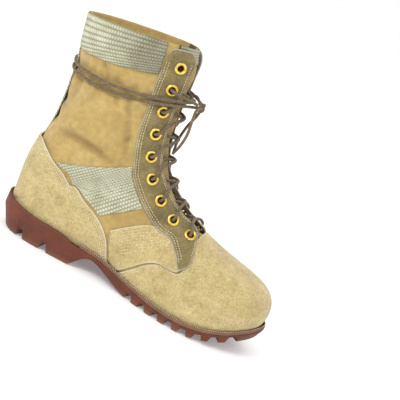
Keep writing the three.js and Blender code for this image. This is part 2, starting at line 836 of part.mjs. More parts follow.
// Vamp: the suede from the toe to its rear edge, drawn from the side
const vampRear = [
  [0.667, 0.31],
  [0.68, 0.24],
  [0.675, 0.2],
  [0.65, 0.193],
  [0.61, 0.192],
  [0.573, 0.17],
  [0.53, 0.12],
];
const vampFootAlong = 0.475;
const vampColumns = 11;

function vampEdge(side) {
  const ridge = { t: throatFoot, a: 0 };
  const foot = { t: placeOnLine(vampFootAlong), a: side };
  const places = [ridge, ...drawnEdge(side, vampRear), foot];
  const rows = places.map((place) => ({ share: Math.abs(place.a), t: place.t }));
  return curve(rows, 'share', 't');
}

function makeVamp() {
  const rows = [0, 0.045, 0.1, 0.16, 0.23, 0.3, 0.38, 0.46, 0.54, 0.62, 0.7, 0.78, 0.86, 0.93, 1];
  const columns = vampColumns;
  const grids = [];
  for (const side of [-1, 1]) {
    const rear = vampEdge(side);
    const grid = rows.map((row) => Array.from({ length: columns + 1 }, (_, c) => {
      const share = c / columns;
      return { t: rear(share) * row, a: side * share };
    }));
    grids.push(side < 0 ? grid : grid.map((row) => [...row].reverse()));
  }
  return meshOf('vamp', 'suede', thicken(grids, level(gap), level(gap + suede)));
}

const panelEase = 0.2;

// Side panel: the suede between the vamp, the counter and the eyestay
const panelTop = [
  [0.402, 0.215],
  [0.45, 0.262],
  [0.5, 0.297],
  [0.545, 0.308],
];

function makeSidePanel(side, name) {
  const rear = vampEdge(side);
  const throatLow = throatFoot + 0.12;
  const corner = { t: 7.6, a: shareAt(7.6, side, canvasEdge(7.6) + 1) };
  const cornerShare = Math.abs(shareAt(throatLow, side, canvasEdge(throatLow) + 1));
  const shares = [];
  for (let c = vampColumns; c / vampColumns > cornerShare + 0.02; c -= 1) shares.push(c / vampColumns);
  shares.push(cornerShare);
  const low = shares.map((share) => ({ t: rear(share) + 0.1, a: side * share }));
  const upper = edgeThrough([...drawnEdge(side, panelTop), corner]);
  const columns = 4;
  const grid = low.map((from, r) => {
    const to = upper(r / (low.length - 1));
    return Array.from({ length: columns + 1 }, (_, c) => {
      const s = c / columns;
      return { t: from.t + (to.t - from.t) * s, a: from.a + (to.a - from.a) * s };
    });
  });
  const facing = side < 0 ? grid : grid.map((row) => [...row].reverse());
  return meshOf(name, 'suede', thicken([facing], level(gap + panelEase), level(gap + suede)));
}

// Eyestay: front edge along the throat, rear edge a width behind it, then a tab over the vamp
const tabFront = [
  [0.676, 0.31],
  [0.692, 0.262],
];
const tabRear = [
  [0.592, 0.287],
  [0.64, 0.245],
];
const tabTip = [
  [0.692, 0.232],
  [0.672, 0.206],
];
const eyestayTop = 21.8;
const eyestayFoot = 7.3;
const eyestayLow = (place) => gap + (suede + gap) * (1 - ease(place.t, 8.7, 11.7));

function eyestayEdges(side) {
  const stretch = [eyestayTop, 20.5, 19, 17.5, 16, 14.5, 13, 12, 11, 10, 9.2, 8.4];
  const front = stretch.map((t) => ({ t, a: shareAt(t, side, throatHalf(t)) }));
  const rear = stretch.map((t) => ({ t, a: shareAt(t, side, throatHalf(t) + eyestayWidth) }));
  front.push({ t: eyestayFoot, a: shareAt(eyestayFoot, side, throatHalf(eyestayFoot)) });
  return {
    front: [...front, ...drawnEdge(side, tabFront), ...drawnEdge(side, [tabTip[0]])],
    rear: [...rear, ...drawnEdge(side, tabRear), ...drawnEdge(side, [[0.655, 0.222], tabTip[1]])],
  };
}

// Eyelet places, evenly spaced along the eyestay
const eyeletLow = 7.25;
const eyeletHigh = 20.55;

function eyeletPlaces(side) {
  const at = (t) => ({ t, a: shareAt(t, side, throatHalf(t) + eyeletFromEdge) });
  const steps = 120;
  const ts = Array.from({ length: steps + 1 }, (_, k) => eyeletLow + (eyeletHigh - eyeletLow) * k / steps);
  const points = ts.map((t) => surface(t, at(t).a));
  const reach = [0];
  for (let k = 1; k <= steps; k += 1) reach.push(reach[k - 1] + points[k].distanceTo(points[k - 1]));
  return Array.from({ length: eyeletsPerSide }, (_, n) => {
    const goal = reach[steps] * n / (eyeletsPerSide - 1);
    let k = 1;
    while (k < steps && reach[k] < goal) k += 1;
    const s = (goal - reach[k - 1]) / (reach[k] - reach[k - 1]);
    return at(ts[k - 1] + (ts[k] - ts[k - 1]) * s);
  });
}

// Frame on the surface: Z outwards
function turnOutwards(place, height) {
  const out = outward(place.t, place.a);
  const point = surface(place.t, place.a).addScaledVector(out, height);
  const turn = new THREE.Quaternion().setFromUnitVectors(new THREE.Vector3(0, 0, 1), out);
  return new THREE.Matrix4().compose(point, turn, new THREE.Vector3(1, 1, 1));
}

const eyeletSides = 8;
const eyeletClearance = 1.2 * gap;

// How far the eyestay's face rises within the flange's reach, over the plane through the eyelet's middle
function faceRise(place) {
  const out = outward(place.t, place.a);
  const centre = surface(place.t, place.a);
  let rise = 0;
  for (const step of [-0.5, 0.5]) {
    const t = Math.min(place.t + step, lastRow);
    const away = surface(t, place.a).sub(centre);
    const share = eyeletFlange / away.length();
    const ramp = (eyestayLow({ t, a: place.a }) - eyestayLow(place)) * share;
    rise = Math.max(rise, away.dot(out) * share ** 2 + ramp);
  }
  return rise;
}

const eyeletSeat = (place) => eyestayLow(place) + suede + eyeletClearance + faceRise(place);

function makeEyestay(side, name) {
  const { front, rear } = eyestayEdges(side);
  const grid = ruled(edgeThrough(front), edgeThrough(rear), 17, 3);
  const facing = side < 0 ? grid : grid.map((row) => [...row].reverse());
  const high = (place) => eyestayLow(place) + suede;
  let solid = solidOf(thicken([facing], eyestayLow, high));
  for (const place of eyeletPlaces(side)) {
    const radius = (eyeletBarrel + gap) / Math.cos(Math.PI / eyeletSides);
    const drill = new THREE.CylinderGeometry(radius, radius, 12, eyeletSides).rotateX(Math.PI / 2);
    solid = solid.subtract(solidOf(drill.applyMatrix4(turnOutwards(place, eyestayLow(place)))));
  }
  return meshOf(name, 'suede', geometryOfSolid(solid));
}

// Ring of a closed profile
function turnedRing(profile) {
  const corner = (k, i) => {
    const [radius, height] = profile[k % profile.length];
    const angle = 2 * Math.PI * i / eyeletSides;
    return new THREE.Vector3(radius * Math.cos(angle), radius * Math.sin(angle), height);
  };
  const triangles = [];
  for (let k = 0; k < profile.length; k += 1) {
    for (let i = 0; i < eyeletSides; i += 1) {
      triangles.push([corner(k, i), corner(k, i + 1), corner(k + 1, i + 1)]);
      triangles.push([corner(k, i), corner(k + 1, i + 1), corner(k + 1, i)]);
    }
  }
  return geometryOf(triangles);
}

function makeEyelet(place, name) {
  const reach = suede + eyeletClearance;
  const profile = [
    [eyeletHole, -reach],
    [eyeletBarrel, -reach],
    [eyeletBarrel, 0],
    [eyeletFlange, 0.1],
    [(eyeletHole + eyeletFlange) / 2, eyeletLip],
    [eyeletHole, 0.3],
  ];
  const eyelet = meshOf(name, 'brass', turnedRing(profile));
  eyelet.applyMatrix4(turnOutwards(place, eyeletSeat(place)));
  return eyelet;
}

// Woven bands
const bandInset = 1.2;
const bandEase = 0.15;

function behindEyestay(t, side) {
  return shareAt(t, side, throatHalf(t) + eyestayWidth + bandInset);
}

function makeCollarBand() {
  const columns = 13;
  const grids = [];
  for (const side of [-1, 1]) {
    const start = { t: 19.85, a: behindEyestay(19.85, side) };
    const finish = { t: seamPlace(0.812 * shaftHeight), a: side };
    const lower = (s) => ({
      t: start.t + (finish.t - start.t) * s ** 1.5,
      a: start.a + (finish.a - start.a) * s,
    });
    const topStart = behindEyestay(lastRow, side);
    const upper = (s) => ({ t: lastRow, a: topStart + (side - topStart) * s });
    const grid = ruled(upper, lower, columns, 2);
    grids.push(side < 0 ? grid : grid.map((row) => [...row].reverse()));
  }
  return meshOf('collar_band', 'webbing', thicken(grids, level(gap + bandEase), level(gap + webbing)));
}

const strapBack = [
  [0.138, 0.354],
  [0.212, 0.313],
  [0.298, 0.27],
  [0.344, 0.245],
];
const strapFrontTop = 13.1;
const strapFrontLow = 9.8;

function makeAnkleStrap(side, name) {
  const back = edgeThrough(drawnEdge(side, strapBack));
  const front = (s) => {
    const t = strapFrontTop + (strapFrontLow - strapFrontTop) * s;
    return { t, a: behindEyestay(t, side) };
  };
  const grid = ruled(front, back, 6, 8);
  const facing = side < 0 ? grid : grid.map((row) => [...row].reverse());
  return meshOf(name, 'webbing', thicken([facing], level(gap), level(gap + webbing)));
}

const backStripHalf = 10;

function makeBackStrip() {
  const from = seamPlace(counterTop * shaftHeight) + 0.04;
  const to = seamPlace(0.812 * shaftHeight) - 0.2;
  const grids = [-1, 1].map((side) => {
    const rows = 5;
    const grid = Array.from({ length: rows + 1 }, (_, r) => {
      const t = from + (to - from) * r / rows;
      const edge = side - shareAt(t, side, backStripHalf);
      return [{ t, a: edge }, { t, a: (edge + side) / 2 }, { t, a: side }];
    });
    return side < 0 ? grid : grid.map((row) => [...row].reverse());
  });
  return meshOf('back_strip', 'webbing', thicken(grids, level(gap), level(gap + webbing)));
}

// Tongue: a flat pad under the throat, held under the vamp and standing past the collar
function makeTongue() {
  const rows = [6.35, 6.8, 7.3, 8, 8.8, 9.8, 11, 12, 13, 14.5, 16, 17.5, 19, 20.5, lastRow];
  const grid = rows.map((t) => Array.from({ length: 7 }, (_, c) => {
    const side = c < 3 ? -1 : 1;
    return { t, a: shareAt(t, side, tongueHalfWidth * Math.abs(c - 3) / 3) };
  }));
  const depth = (place) =>
    -(wall + gap + (tongueDepth - wall - gap) * ease(place.t, 6.6, 7.6));
  const low = (place) => depth(place) - tongueThickness;
  return meshOf('tongue', 'canvas', thicken([grid], low, depth));
}

// Lace
function circle(radius, sides) {
  return new THREE.Shape(Array.from({ length: sides }, (_, k) => {
    const angle = 2 * Math.PI * k / sides;
    return new THREE.Vector2(radius * Math.cos(angle), radius * Math.sin(angle));
  }));
}

function tube(points, steps, radius, sides) {
  const extrudePath = new THREE.CatmullRomCurve3(points, false, 'centripetal');
  return new THREE.ExtrudeGeometry(circle(radius, sides), { steps, extrudePath, bevelEnabled: false });
}

const laceRadius = laceDiameter / 2;

function lacePoint(t, arc, height) {
  const side = arc < 0 ? -1 : 1;
  const place = { t, a: shareAt(t, side, Math.abs(arc)) };
  return surface(place.t, place.a).addScaledVector(outward(place.t, place.a), height);
}

const strandShift = 0.2;
const strandSag = 2.6;

// One strand across the throat, from beside one eyelet to beside another
function strand(from, to) {
  const over = (place) => eyeletSeat(place) + eyeletLip + laceRadius + 3 * gap;
  const arcOf = (place) => place.a * section(place.t).halves[Math.sign(place.a)].length;
  const rise = Math.sign(to.t - from.t) * strandShift;
  const start = { t: from.t + rise, arc: arcOf(from) };
  const finish = { t: to.t - rise, arc: arcOf(to) };
  const points = [0, 0.2, 0.5, 0.8, 1].map((s) => {
    const t = start.t + (finish.t - start.t) * s;
    const arc = start.arc + (finish.arc - start.arc) * s;
    const middle = 1 - Math.abs(2 * s - 1);
    const height = over(from) + (over(to) - over(from)) * s - strandSag * ease(middle, 0.2, 1);
    return lacePoint(t, arc, height);
  });
  return solidOf(tube(points, 4, laceRadius, 5));
}

function makeLacing() {
  const inner = eyeletPlaces(-1);
  const outer = eyeletPlaces(1);
  const pieces = [meshOf('lace_bar', 'lace', geometryOfSolid(strand(inner[0], outer[0])))];
  for (let n = 0; n + 1 < eyeletsPerSide; n += 1) {
    const cross = strand(inner[n], outer[n + 1]).add(strand(outer[n], inner[n + 1]));
    pieces.push(meshOf(`lace_crossing_${n + 1}`, 'lace', geometryOfSolid(cross)));
  }
  return pieces;
}

// Lace wound twice round the shaft under the second eyelet from the top
const wrapTurns = 2;
const wrapFront = 17.3;
const wrapRise = 2.3;
const wrapPitch = 0.36;
const wrapStart = 5;
const wrapLift = 8.4;

function makeWrap() {
  const places = [];
  const perTurn = 18;
  const total = perTurn * wrapTurns;
  for (let k = 0; k <= total; k += 1) {
    const turn = k / perTurn;
    const angle = 2 * (turn % 1 === 0 && k > 0 ? 1 : turn % 1);
    const around = angle <= 1 ? -angle : 2 - angle;
    const t = wrapFront + wrapRise * Math.abs(around) ** 1.3 + wrapPitch * turn;
    places.push({ t, around });
  }
  const points = places.map(({ t, around }, k) => {
    const side = around < 0 ? -1 : 1;
    const length = section(t).halves[side].length;
    const ends = k === 0 || k === total;
    const arc = ends ? (k === 0 ? -wrapStart : wrapStart) : around * length;
    const onEyestay = 1 - ease(Math.abs(arc), eyestayWidth * 0.9, eyestayWidth * 2);
    const onStrip = (webbing + 2 * gap) * ease(Math.abs(around), 0.74, 0.84);
    return lacePoint(t, arc, laceRadius + 2 * gap + onStrip + wrapLift * onEyestay);
  });
  return meshOf('lace_wrap', 'lace', welded(tube(points, 52, laceRadius, 6)));
}

// Knot and the two free ends, in front of the throat
const knotSize = [5.5, 4.5, 3.6];
const knotHeight = 15.4;
const knotPlace = 17.45;
const endOne = [
  [17.3, -7.6, 16.6],
  [16.6, -9.5, 18.8],
  [15.4, -10, 20],
  [14.3, -11, 16],
  [13.6, -14, 12.4],
];
const endTwo = [
  [17.35, 8, 16.3],
  [16.6, 14, 17.5],
  [15.6, 21, 17],
  [14.5, 25, 14.5],
  [13.4, 26, 12.4],
];

const knotFrame = turnOutwards({ t: knotPlace, a: 0 }, knotHeight);

function makeKnot() {
  const ball = new THREE.SphereGeometry(1, 8, 5).scale(...knotSize);
  ball.applyMatrix4(knotFrame);
  return meshOf('lace_knot', 'lace', welded(ball));
}

function makeEnd(name, side, places) {
  const start = new THREE.Vector3(0, side * (knotSize[1] + gap), 0).applyMatrix4(knotFrame);
  const points = [start, ...places.map(([t, arc, height]) => lacePoint(t, arc, height))];
  return meshOf(name, 'lace', welded(tube(points, 9, laceRadius, 8)));
}

const boot = new THREE.Group();
boot.name = 'combat_boot';
boot.position.x = -heelRest;
boot.add(makeOutsole(), makeWelt(), makeInsole(), makeUpper(), makeCounter(), makeVamp());
boot.add(makeCollarBand(), makeBackStrip(), makeTongue(), ...makeLacing());
boot.add(makeWrap(), makeKnot(), makeEnd('lace_end_1', -1, endOne));
boot.add(makeEnd('lace_end_2', 1, endTwo));
for (const [side, name] of [[-1, 'inner'], [1, 'outer']]) {
  boot.add(makeSidePanel(side, `side_panel_${name}`));
  boot.add(makeEyestay(side, `eyestay_${name}`));
  boot.add(makeAnkleStrap(side, `ankle_strap_${name}`));
  eyeletPlaces(side).forEach((place, n) => boot.add(makeEyelet(place, `eyelet_${name}_${n + 1}`)));
}

export default boot;
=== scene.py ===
# Combat boot for the left foot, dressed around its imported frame.
# Metres. +X toe, +Y outer side, +Z up.

import math

import bmesh
import bpy
import numpy as np
from mathutils import Matrix, Vector


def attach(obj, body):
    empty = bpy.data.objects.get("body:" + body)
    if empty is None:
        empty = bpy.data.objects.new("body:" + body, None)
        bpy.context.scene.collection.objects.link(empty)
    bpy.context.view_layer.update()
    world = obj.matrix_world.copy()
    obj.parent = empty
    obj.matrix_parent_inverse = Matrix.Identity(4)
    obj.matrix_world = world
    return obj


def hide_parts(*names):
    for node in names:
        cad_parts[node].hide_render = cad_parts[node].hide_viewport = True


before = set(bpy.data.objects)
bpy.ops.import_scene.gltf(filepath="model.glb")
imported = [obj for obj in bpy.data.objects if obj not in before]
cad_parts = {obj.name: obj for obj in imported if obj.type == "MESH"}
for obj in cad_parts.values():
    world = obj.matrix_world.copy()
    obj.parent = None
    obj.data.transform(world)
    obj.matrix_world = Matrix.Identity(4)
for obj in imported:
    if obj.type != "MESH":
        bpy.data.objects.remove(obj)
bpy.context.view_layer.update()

MM = 0.001

# Driving sizes, as in the frame
SOLE_LENGTH = 305 * MM
BALL_WIDTH = 97 * MM
HEEL_HEIGHT = 24 * MM
FOREFOOT_HEIGHT = 8.2 * MM
TOE_SPRING = 23 * MM
ARCH_HEIGHT = 15.5 * MM
HEEL_EDGE = 7.7 * MM
TOE_EDGE = 7.6 * MM
LUG_DEPTH = 5.8 * MM
HEEL_LUG_DEPTH = 8 * MM
GROOVE_WIDTH = 9 * MM
LUG_REACH = 24 * MM
LUGS = 8
HEEL_LUGS = 3
LIP_WIDTH = 1.9 * MM
WELT_HEIGHT = 3.4 * MM
INSTEP_HEIGHT = 100 * MM
SHAFT_HEIGHT = 256 * MM
SHAFT_DEPTH = 120 * MM
HEEL_REST = 48 * MM
TOE_SWING = 3 * MM
WALL = 1.6 * MM
SUEDE = 1.6 * MM
WEBBING = 1.3 * MM
GAP = 0.4 * MM
EYELETS = 9
EYELET_HOLE = 3.4 * MM
EYELET_BARREL = 4.2 * MM
EYELET_FLANGE = 6.4 * MM
EYELET_LIP = 1.2 * MM
EYELET_CLEARANCE = 1.2 * GAP
EYELET_FROM_EDGE = 13 * MM
EYESTAY_WIDTH = 31 * MM
LACE_RADIUS = 1.6 * MM
TONGUE_THICKNESS = 2.4 * MM
TONGUE_DEPTH = 5.6 * MM
TONGUE_HALF = 33 * MM


# Curves and tables

def curve(x, y):
    """Smooth curve through the points, held level past both ends."""
    x, y = np.asarray(x, float), np.asarray(y, float)
    last = len(x) - 1
    after = np.minimum(np.arange(len(x)) + 1, last)
    before = np.maximum(np.arange(len(x)) - 1, 0)
    slope = (y[after] - y[before]) / (x[after] - x[before])

    def at(value):
        v = np.clip(np.asarray(value, float), x[0], x[-1])
        k = np.clip(np.searchsorted(x, v, side="right") - 1, 0, last - 1)
        step = x[k + 1] - x[k]
        s = (v - x[k]) / step
        s2, s3 = s * s, s * s * s
        start = y[k] * (2 * s3 - 3 * s2 + 1) + step * slope[k] * (s3 - 2 * s2 + s)
        return start + y[k + 1] * (3 * s2 - 2 * s3) + step * slope[k + 1] * (s3 - s2)

    return at


def columns(rows):
    return np.array(rows, float).T


def ease(value, low, high):
    s = np.clip((np.asarray(value, float) - low) / (high - low), 0, 1)
    return s * s * (3 - 2 * s)


# Sole line: shares of its length from the heel, half widths as shares of half the ball width
LINE_ROWS = [
    (0, 0, 0), (0.04, 0.5, 0.5), (0.1, 0.64, 0.64), (0.18, 0.675, 0.68), (0.3, 0.635, 0.675),
    (0.42, 0.575, 0.72), (0.55, 0.73, 0.84), (0.66, 0.925, 0.94), (0.73, 0.99, 1.0),
    (0.8, 0.97, 0.965), (0.88, 0.85, 0.82), (0.94, 0.635, 0.61), (0.98, 0.39, 0.38), (1, 0, 0),
]
LINE_LENGTH = SOLE_LENGTH - HEEL_EDGE - TOE_EDGE


def turn_of(along):
    return np.arccos(np.clip(1 - 2 * np.asarray(along, float), -1, 1))


def along_of(turn):
    return (1 - np.cos(turn)) / 2


line_along, line_inner_share, line_outer_share = columns(LINE_ROWS)
line_inner = curve(turn_of(line_along), line_inner_share)
line_outer = curve(turn_of(line_along), line_outer_share)


def line_x(along):
    return HEEL_EDGE + LINE_LENGTH * np.asarray(along, float)


def centre_y(x):
    return -TOE_SWING * ease(np.asarray(x) / SOLE_LENGTH, 0.62, 1)


def line_half(side, turn):
    return (line_inner if side < 0 else line_outer)(turn) * BALL_WIDTH / 2


# Heights of the sole's top and underside, and how its side stands out
top_along, top_heel, top_spring = columns([
    (0, 1, 0), (0.15, 0.97, 0), (0.3, 0.9, 0), (0.4, 0.74, 0), (0.5, 0.4, 0), (0.6, 0.12, 0),
    (0.7, 0, 0), (0.76, 0, 0.01), (0.82, 0, 0.09), (0.88, 0, 0.28), (0.94, 0, 0.58), (1, 0, 1),
])
heel_share = curve(top_along, top_heel)
spring_share = curve(top_along, top_spring)

under_along, under_arch, under_spring = columns([
    (0, 0, 0), (0.29, 0, 0), (0.305, 0.06, 0), (0.345, 0.8, 0), (0.375, 1, 0), (0.44, 0.66, 0),
    (0.5, 0.26, 0), (0.56, 0, 0), (0.78, 0, 0), (0.84, 0, 0.1), (0.9, 0, 0.32), (0.95, 0, 0.6),
    (1, 0, 0.92),
])
arch_share = curve(under_along, under_arch)
toe_share = curve(under_along, under_spring)

side_along, side_rim_mm, side_foot_mm, side_lip_mm = columns([
    (0, 7.7, -2, 11), (0.04, 7.5, 0, 9), (0.12, 6.8, 2.5, 5.6), (0.24, 6.8, 4.2, 4.2),
    (0.3, 7, 4.8, 0), (0.4, 7.6, 5.4, 0), (0.55, 7.2, 5.4, 0), (0.75, 6.9, 5.6, 0),
    (0.9, 7.1, 5, 0), (1, 7.6, 3.8, 0),
])
rim_mm = curve(side_along, side_rim_mm)
foot_mm = curve(side_along, side_foot_mm)
lip_mm = curve(side_along, side_lip_mm)


def sole_top(along):
    rise = heel_share(along) * (HEEL_HEIGHT - FOREFOOT_HEIGHT)
    return FOREFOOT_HEIGHT + rise + spring_share(along) * TOE_SPRING


def sole_under(along):
    return arch_share(along) * ARCH_HEIGHT + np.maximum(toe_share(along), 0) * TOE_SPRING


def side_rim(along):
    return rim_mm(along) * MM


def side_foot(along):
    return foot_mm(along) * MM


def side_lip(along):
    return np.maximum(lip_mm(along), 0) * MM


def line_offset(side, turn, distance):
    """Points on the sole line moved outwards, level, by a distance."""
    turn = np.asarray(turn, float)

    def point(t):
        x = line_x(along_of(t))
        return np.stack([x, centre_y(x) + side * line_half(side, t)], -1)

    step = 0.02
    along = point(np.minimum(turn + step, math.pi)) - point(np.maximum(turn - step, 0))
    along /= np.linalg.norm(along, axis=-1, keepdims=True)
    out = np.stack([-side * along[..., 1], side * along[..., 0]], -1)
    out[turn <= 1e-9] = (-1, 0)
    out[turn >= math.pi - 1e-9] = (1, 0)
    return point(turn) + out * np.asarray(distance)[..., None]


# Sections of the last. A foot row starts with its share along the sole and its ridge's place,
# a shaft row with its back's and its ridge's place. Both go on with the half widths inside and
# outside, the height of the widest place, the fullness above it and the roundness below it.
FOOT_ROWS = [
    (1, 0.978, 0.32, 0, 0, 0.3, 2, 0.8),
    (0.985, 0.986, 0.445, 0.385, 0.375, 0.3, 2, 0.8),
    (0.955, 0.978, 0.565, 0.6, 0.585, 0.3, 2.05, 0.8),
    (0.91, 0.95, 0.66, 0.79, 0.775, 0.28, 2.1, 0.8),
    (0.85, 0.898, 0.725, 0.955, 0.935, 0.26, 2.1, 0.8),
    (0.77, 0.822, 0.775, 1.035, 1.035, 0.25, 2, 0.8),
    (0.68, 0.74, 0.832, 1.01, 1.02, 0.25, 1.9, 0.8),
    (0.58, 0.667, 0.9, 0.92, 0.95, 0.27, 1.78, 0.8),
    (0.47, 0.609, 0.975, 0.79, 0.845, 0.31, 1.72, 0.8),
    (0.36, 0.567, 1.06, 0.74, 0.785, 0.35, 1.72, 0.8),
    (0.24, 0.528, 1.165, 0.73, 0.755, 0.39, 1.76, 0.8),
    (0.12, 0.495, 1.28, 0.735, 0.75, 0.42, 1.82, 0.8),
    (0.03, 0.472, 1.38, 0.745, 0.75, 0.44, 1.87, 0.74),
]
SHAFT_ROWS = [
    (0, 0, 1.11, 0.3, 0.75, 0.75, 0.45, 1.9, 0.42),
    (-0.018, 0.088, 1.08, 0.372, 0.75, 0.75, 0.46, 1.92, 0.42),
    (-0.03, 0.184, 1.055, 0.452, 0.742, 0.742, 0.47, 1.95, 0.43),
    (-0.01, 0.295, 1.036, 0.538, 0.728, 0.728, 0.47, 1.98, 0.45),
    (0.03, 0.41, 1.027, 0.622, 0.71, 0.71, 0.47, 2, 0.47),
    (0.036, 0.526, 1.022, 0.699, 0.7, 0.7, 0.47, 2, 0.48),
    (0.024, 0.628, 1.018, 0.772, 0.692, 0.692, 0.47, 2, 0.48),
    (0.01, 0.715, 1.01, 0.846, 0.685, 0.685, 0.47, 2, 0.48),
    (-0.025, 0.793, 0.99, 0.917, 0.73, 0.73, 0.47, 2.05, 0.48),
    (-0.07, 0.927, 0.958, 1, 0.775, 0.775, 0.47, 2.1, 0.48),
]
HEEL_ROW = len(FOOT_ROWS)
SHAFT_BASE = float(sole_top(0)) + GAP


def section_rows():
    rows = []
    for along, rx, rz, inner, outer, widest, full, roundness in FOOT_ROWS:
        foot_z = float(sole_top(along)) + GAP
        ridge_z = foot_z if along == 1 else rz * INSTEP_HEIGHT
        rows.append((float(turn_of(along)), float(line_x(along)), foot_z, rx * SOLE_LENGTH, ridge_z,
                     inner, outer, widest, full, roundness))
    for bx, bz, rx, rz, inner, outer, widest, full, roundness in SHAFT_ROWS:
        rows.append((0.0, HEEL_EDGE + bx * SHAFT_DEPTH, SHAFT_BASE + bz * (SHAFT_HEIGHT - SHAFT_BASE),
                     HEEL_EDGE + rx * SHAFT_DEPTH, INSTEP_HEIGHT + rz * (SHAFT_HEIGHT - INSTEP_HEIGHT),
                     inner, outer, widest, full, roundness))
    return np.array(rows)


ROWS = section_rows()
LAST = len(ROWS) - 1
ROW_CURVES = [curve(np.arange(len(ROWS)), ROWS[:, k]) for k in range(ROWS.shape[1])]

# The surface as a fine lattice over t (toe round the instep to the collar) and a (ridge 0, foot 1)
T_STEP = 0.05
A_STEP = 0.005
A_REACH = 1.5
HALF_STEPS = 120

SIDES = ((-1, "inner"), (1, "outer"))

# Length of one step of t, taken everywhere as it is at the front of the shaft
T_LENGTH = 11.5 * MM


def make_lattice():
    ts = np.arange(0, LAST + T_STEP / 2, T_STEP)
    shares = np.arange(0, 1 + A_STEP / 2, A_STEP)
    sheets = {}
    lengths = {}
    for side in (-1, 1):
        points = np.zeros((len(ts), len(shares), 3))
        reach_of = np.zeros(len(ts))
        for i, t in enumerate(ts):
            turn, bx, bz, rx, rz, inner, outer, widest, full, roundness = [float(c(t)) for c in ROW_CURVES]
            on_line = t < HEEL_ROW
            foot = 0.0
            if on_line:
                bx = float(line_x(along_of(turn)))
                bz = float(sole_top(along_of(turn))) + GAP
                foot = float(line_half(side, turn))
            half = max((inner if side < 0 else outer) * BALL_WIDTH / 2, foot)
            height = math.hypot(rx - bx, rz - bz)
            k = np.arange(HALF_STEPS + 1) / HALF_STEPS
            angle = (1 - k) * math.pi / 2
            power = 2 / full
            up = widest + (1 - widest) * np.sin(angle) ** power
            out = half * np.maximum(np.cos(angle), 0) ** power
            angle = k[1:] * math.pi / 2
            swell = np.maximum(np.cos(angle), 0) ** (2 * roundness)
            up = np.concatenate([up, widest * (1 - np.sin(angle))])
            out = np.concatenate([out, foot + (half - foot) * swell])
            reach = np.concatenate([[0], np.cumsum(np.hypot(np.diff(up) * height, np.diff(out)))])
            u = np.interp(shares * reach[-1], reach, up)
            w = np.interp(shares * reach[-1], reach, out)
            x = bx + (rx - bx) * u
            points[i] = np.stack([x, centre_y(x) + side * w, bz + (rz - bz) * u], -1)
            reach_of[i] = reach[-1]
        sheets[side] = points
        lengths[side] = reach_of
    count = int(round(A_REACH / A_STEP))
    whole = np.zeros((len(ts), 2 * count + 1, 3))
    for j in range(-count, count + 1):
        side = -1 if j < 0 else 1
        share = min(abs(j), len(shares) - 1)
        whole[:, j + count] = sheets[side][:, share]
        if abs(j) > len(shares) - 1:
            past = ts >= HEEL_ROW
            whole[past, j + count] = sheets[-side][past, 2 * (len(shares) - 1) - abs(j)]
    return ts, whole, lengths


LATTICE_T, LATTICE, LENGTHS = make_lattice()
# Column of the ridge, and how many columns away the foot is
RIDGE = LATTICE.shape[1] // 2
FOOT = int(round(1 / A_STEP))


def surface(t, a):
    t = np.clip(np.asarray(t, float), 0, LAST)
    a = np.clip(np.asarray(a, float), -A_REACH, A_REACH)
    t, a = np.broadcast_arrays(t, a)
    i = np.clip((t / T_STEP).astype(int), 0, LATTICE.shape[0] - 2)
    j = np.clip(((a + A_REACH) / A_STEP).astype(int), 0, LATTICE.shape[1] - 2)
    u = (t / T_STEP - i)[..., None]
    v = ((a + A_REACH) / A_STEP - j)[..., None]
    return ((LATTICE[i, j] * (1 - u) + LATTICE[i + 1, j] * u) * (1 - v)
            + (LATTICE[i, j + 1] * (1 - u) + LATTICE[i + 1, j + 1] * u) * v)


NORMAL_STEP = 0.03


def outward(t, a):
    t, a = np.broadcast_arrays(np.asarray(t, float), np.asarray(a, float))
    along = surface(np.minimum(t + NORMAL_STEP, LAST), a) - surface(np.maximum(t - NORMAL_STEP, 0.02), a)
    edge = t < HEEL_ROW
    high = np.where(edge, np.minimum(a + NORMAL_STEP, 1), a + NORMAL_STEP)
    low = np.where(edge, np.maximum(a - NORMAL_STEP, -1), a - NORMAL_STEP)
    out = np.cross(surface(t, high) - surface(t, low), along)
    size = np.linalg.norm(out, axis=-1, keepdims=True)
    out = out / np.maximum(size, 1e-12)
    out[t < 0.05] = (1, 0, 0)
    return out


def half_length(t, side):
    return np.interp(t, LATTICE_T, LENGTHS[-1 if side < 0 else 1])


def arc_at(t, a):
    """Signed distance of a place from the front line, round the last."""
    return a * np.where(np.less(a, 0), half_length(t, -1), half_length(t, 1))


def share_at(t, side, distance):
    return side * np.asarray(distance) / half_length(t, side)


def locate(side, x, z):
    """Place (t, a) of the point seen from the side at x, z."""
    half = LATTICE[:, RIDGE:RIDGE + FOOT + 1] if side > 0 else LATTICE[:, RIDGE - FOOT:RIDGE + 1][:, ::-1]
    miss = np.hypot(half[..., 0] - x, half[..., 2] - z)
    i, j = np.unravel_index(np.argmin(miss), miss.shape)
    return float(LATTICE_T[i]), side * max(j, 1) * A_STEP


def drawn(side, points):
    return [locate(side, x * SOLE_LENGTH, z * SHAFT_HEIGHT) for x, z in points]


def seam_place(height):
    back = LATTICE[:, RIDGE + FOOT, 2]
    rows = LATTICE_T >= HEEL_ROW
    return float(np.interp(height, back[rows], LATTICE_T[rows]))


def place_on_line(along):
    foot = LATTICE[:, RIDGE + FOOT, 0]
    rows = LATTICE_T <= HEEL_ROW
    return float(np.interp(-float(line_x(along)), -foot[rows], LATTICE_T[rows]))


throat_t, throat_mm = columns([
    (6, 7), (7.2, 8.5), (8.5, 11), (10, 13.5), (12, 16), (14, 17.5), (17, 17.5), (20, 16), (22, 14.5),
])
throat_half_mm = curve(throat_t, throat_mm)
THROAT_FOOT = 6.9


def throat_half(t):
    return throat_half_mm(t) * MM


def canvas_edge(t):
    return throat_half(t) + EYELET_FROM_EDGE + EYELET_FLANGE + MM


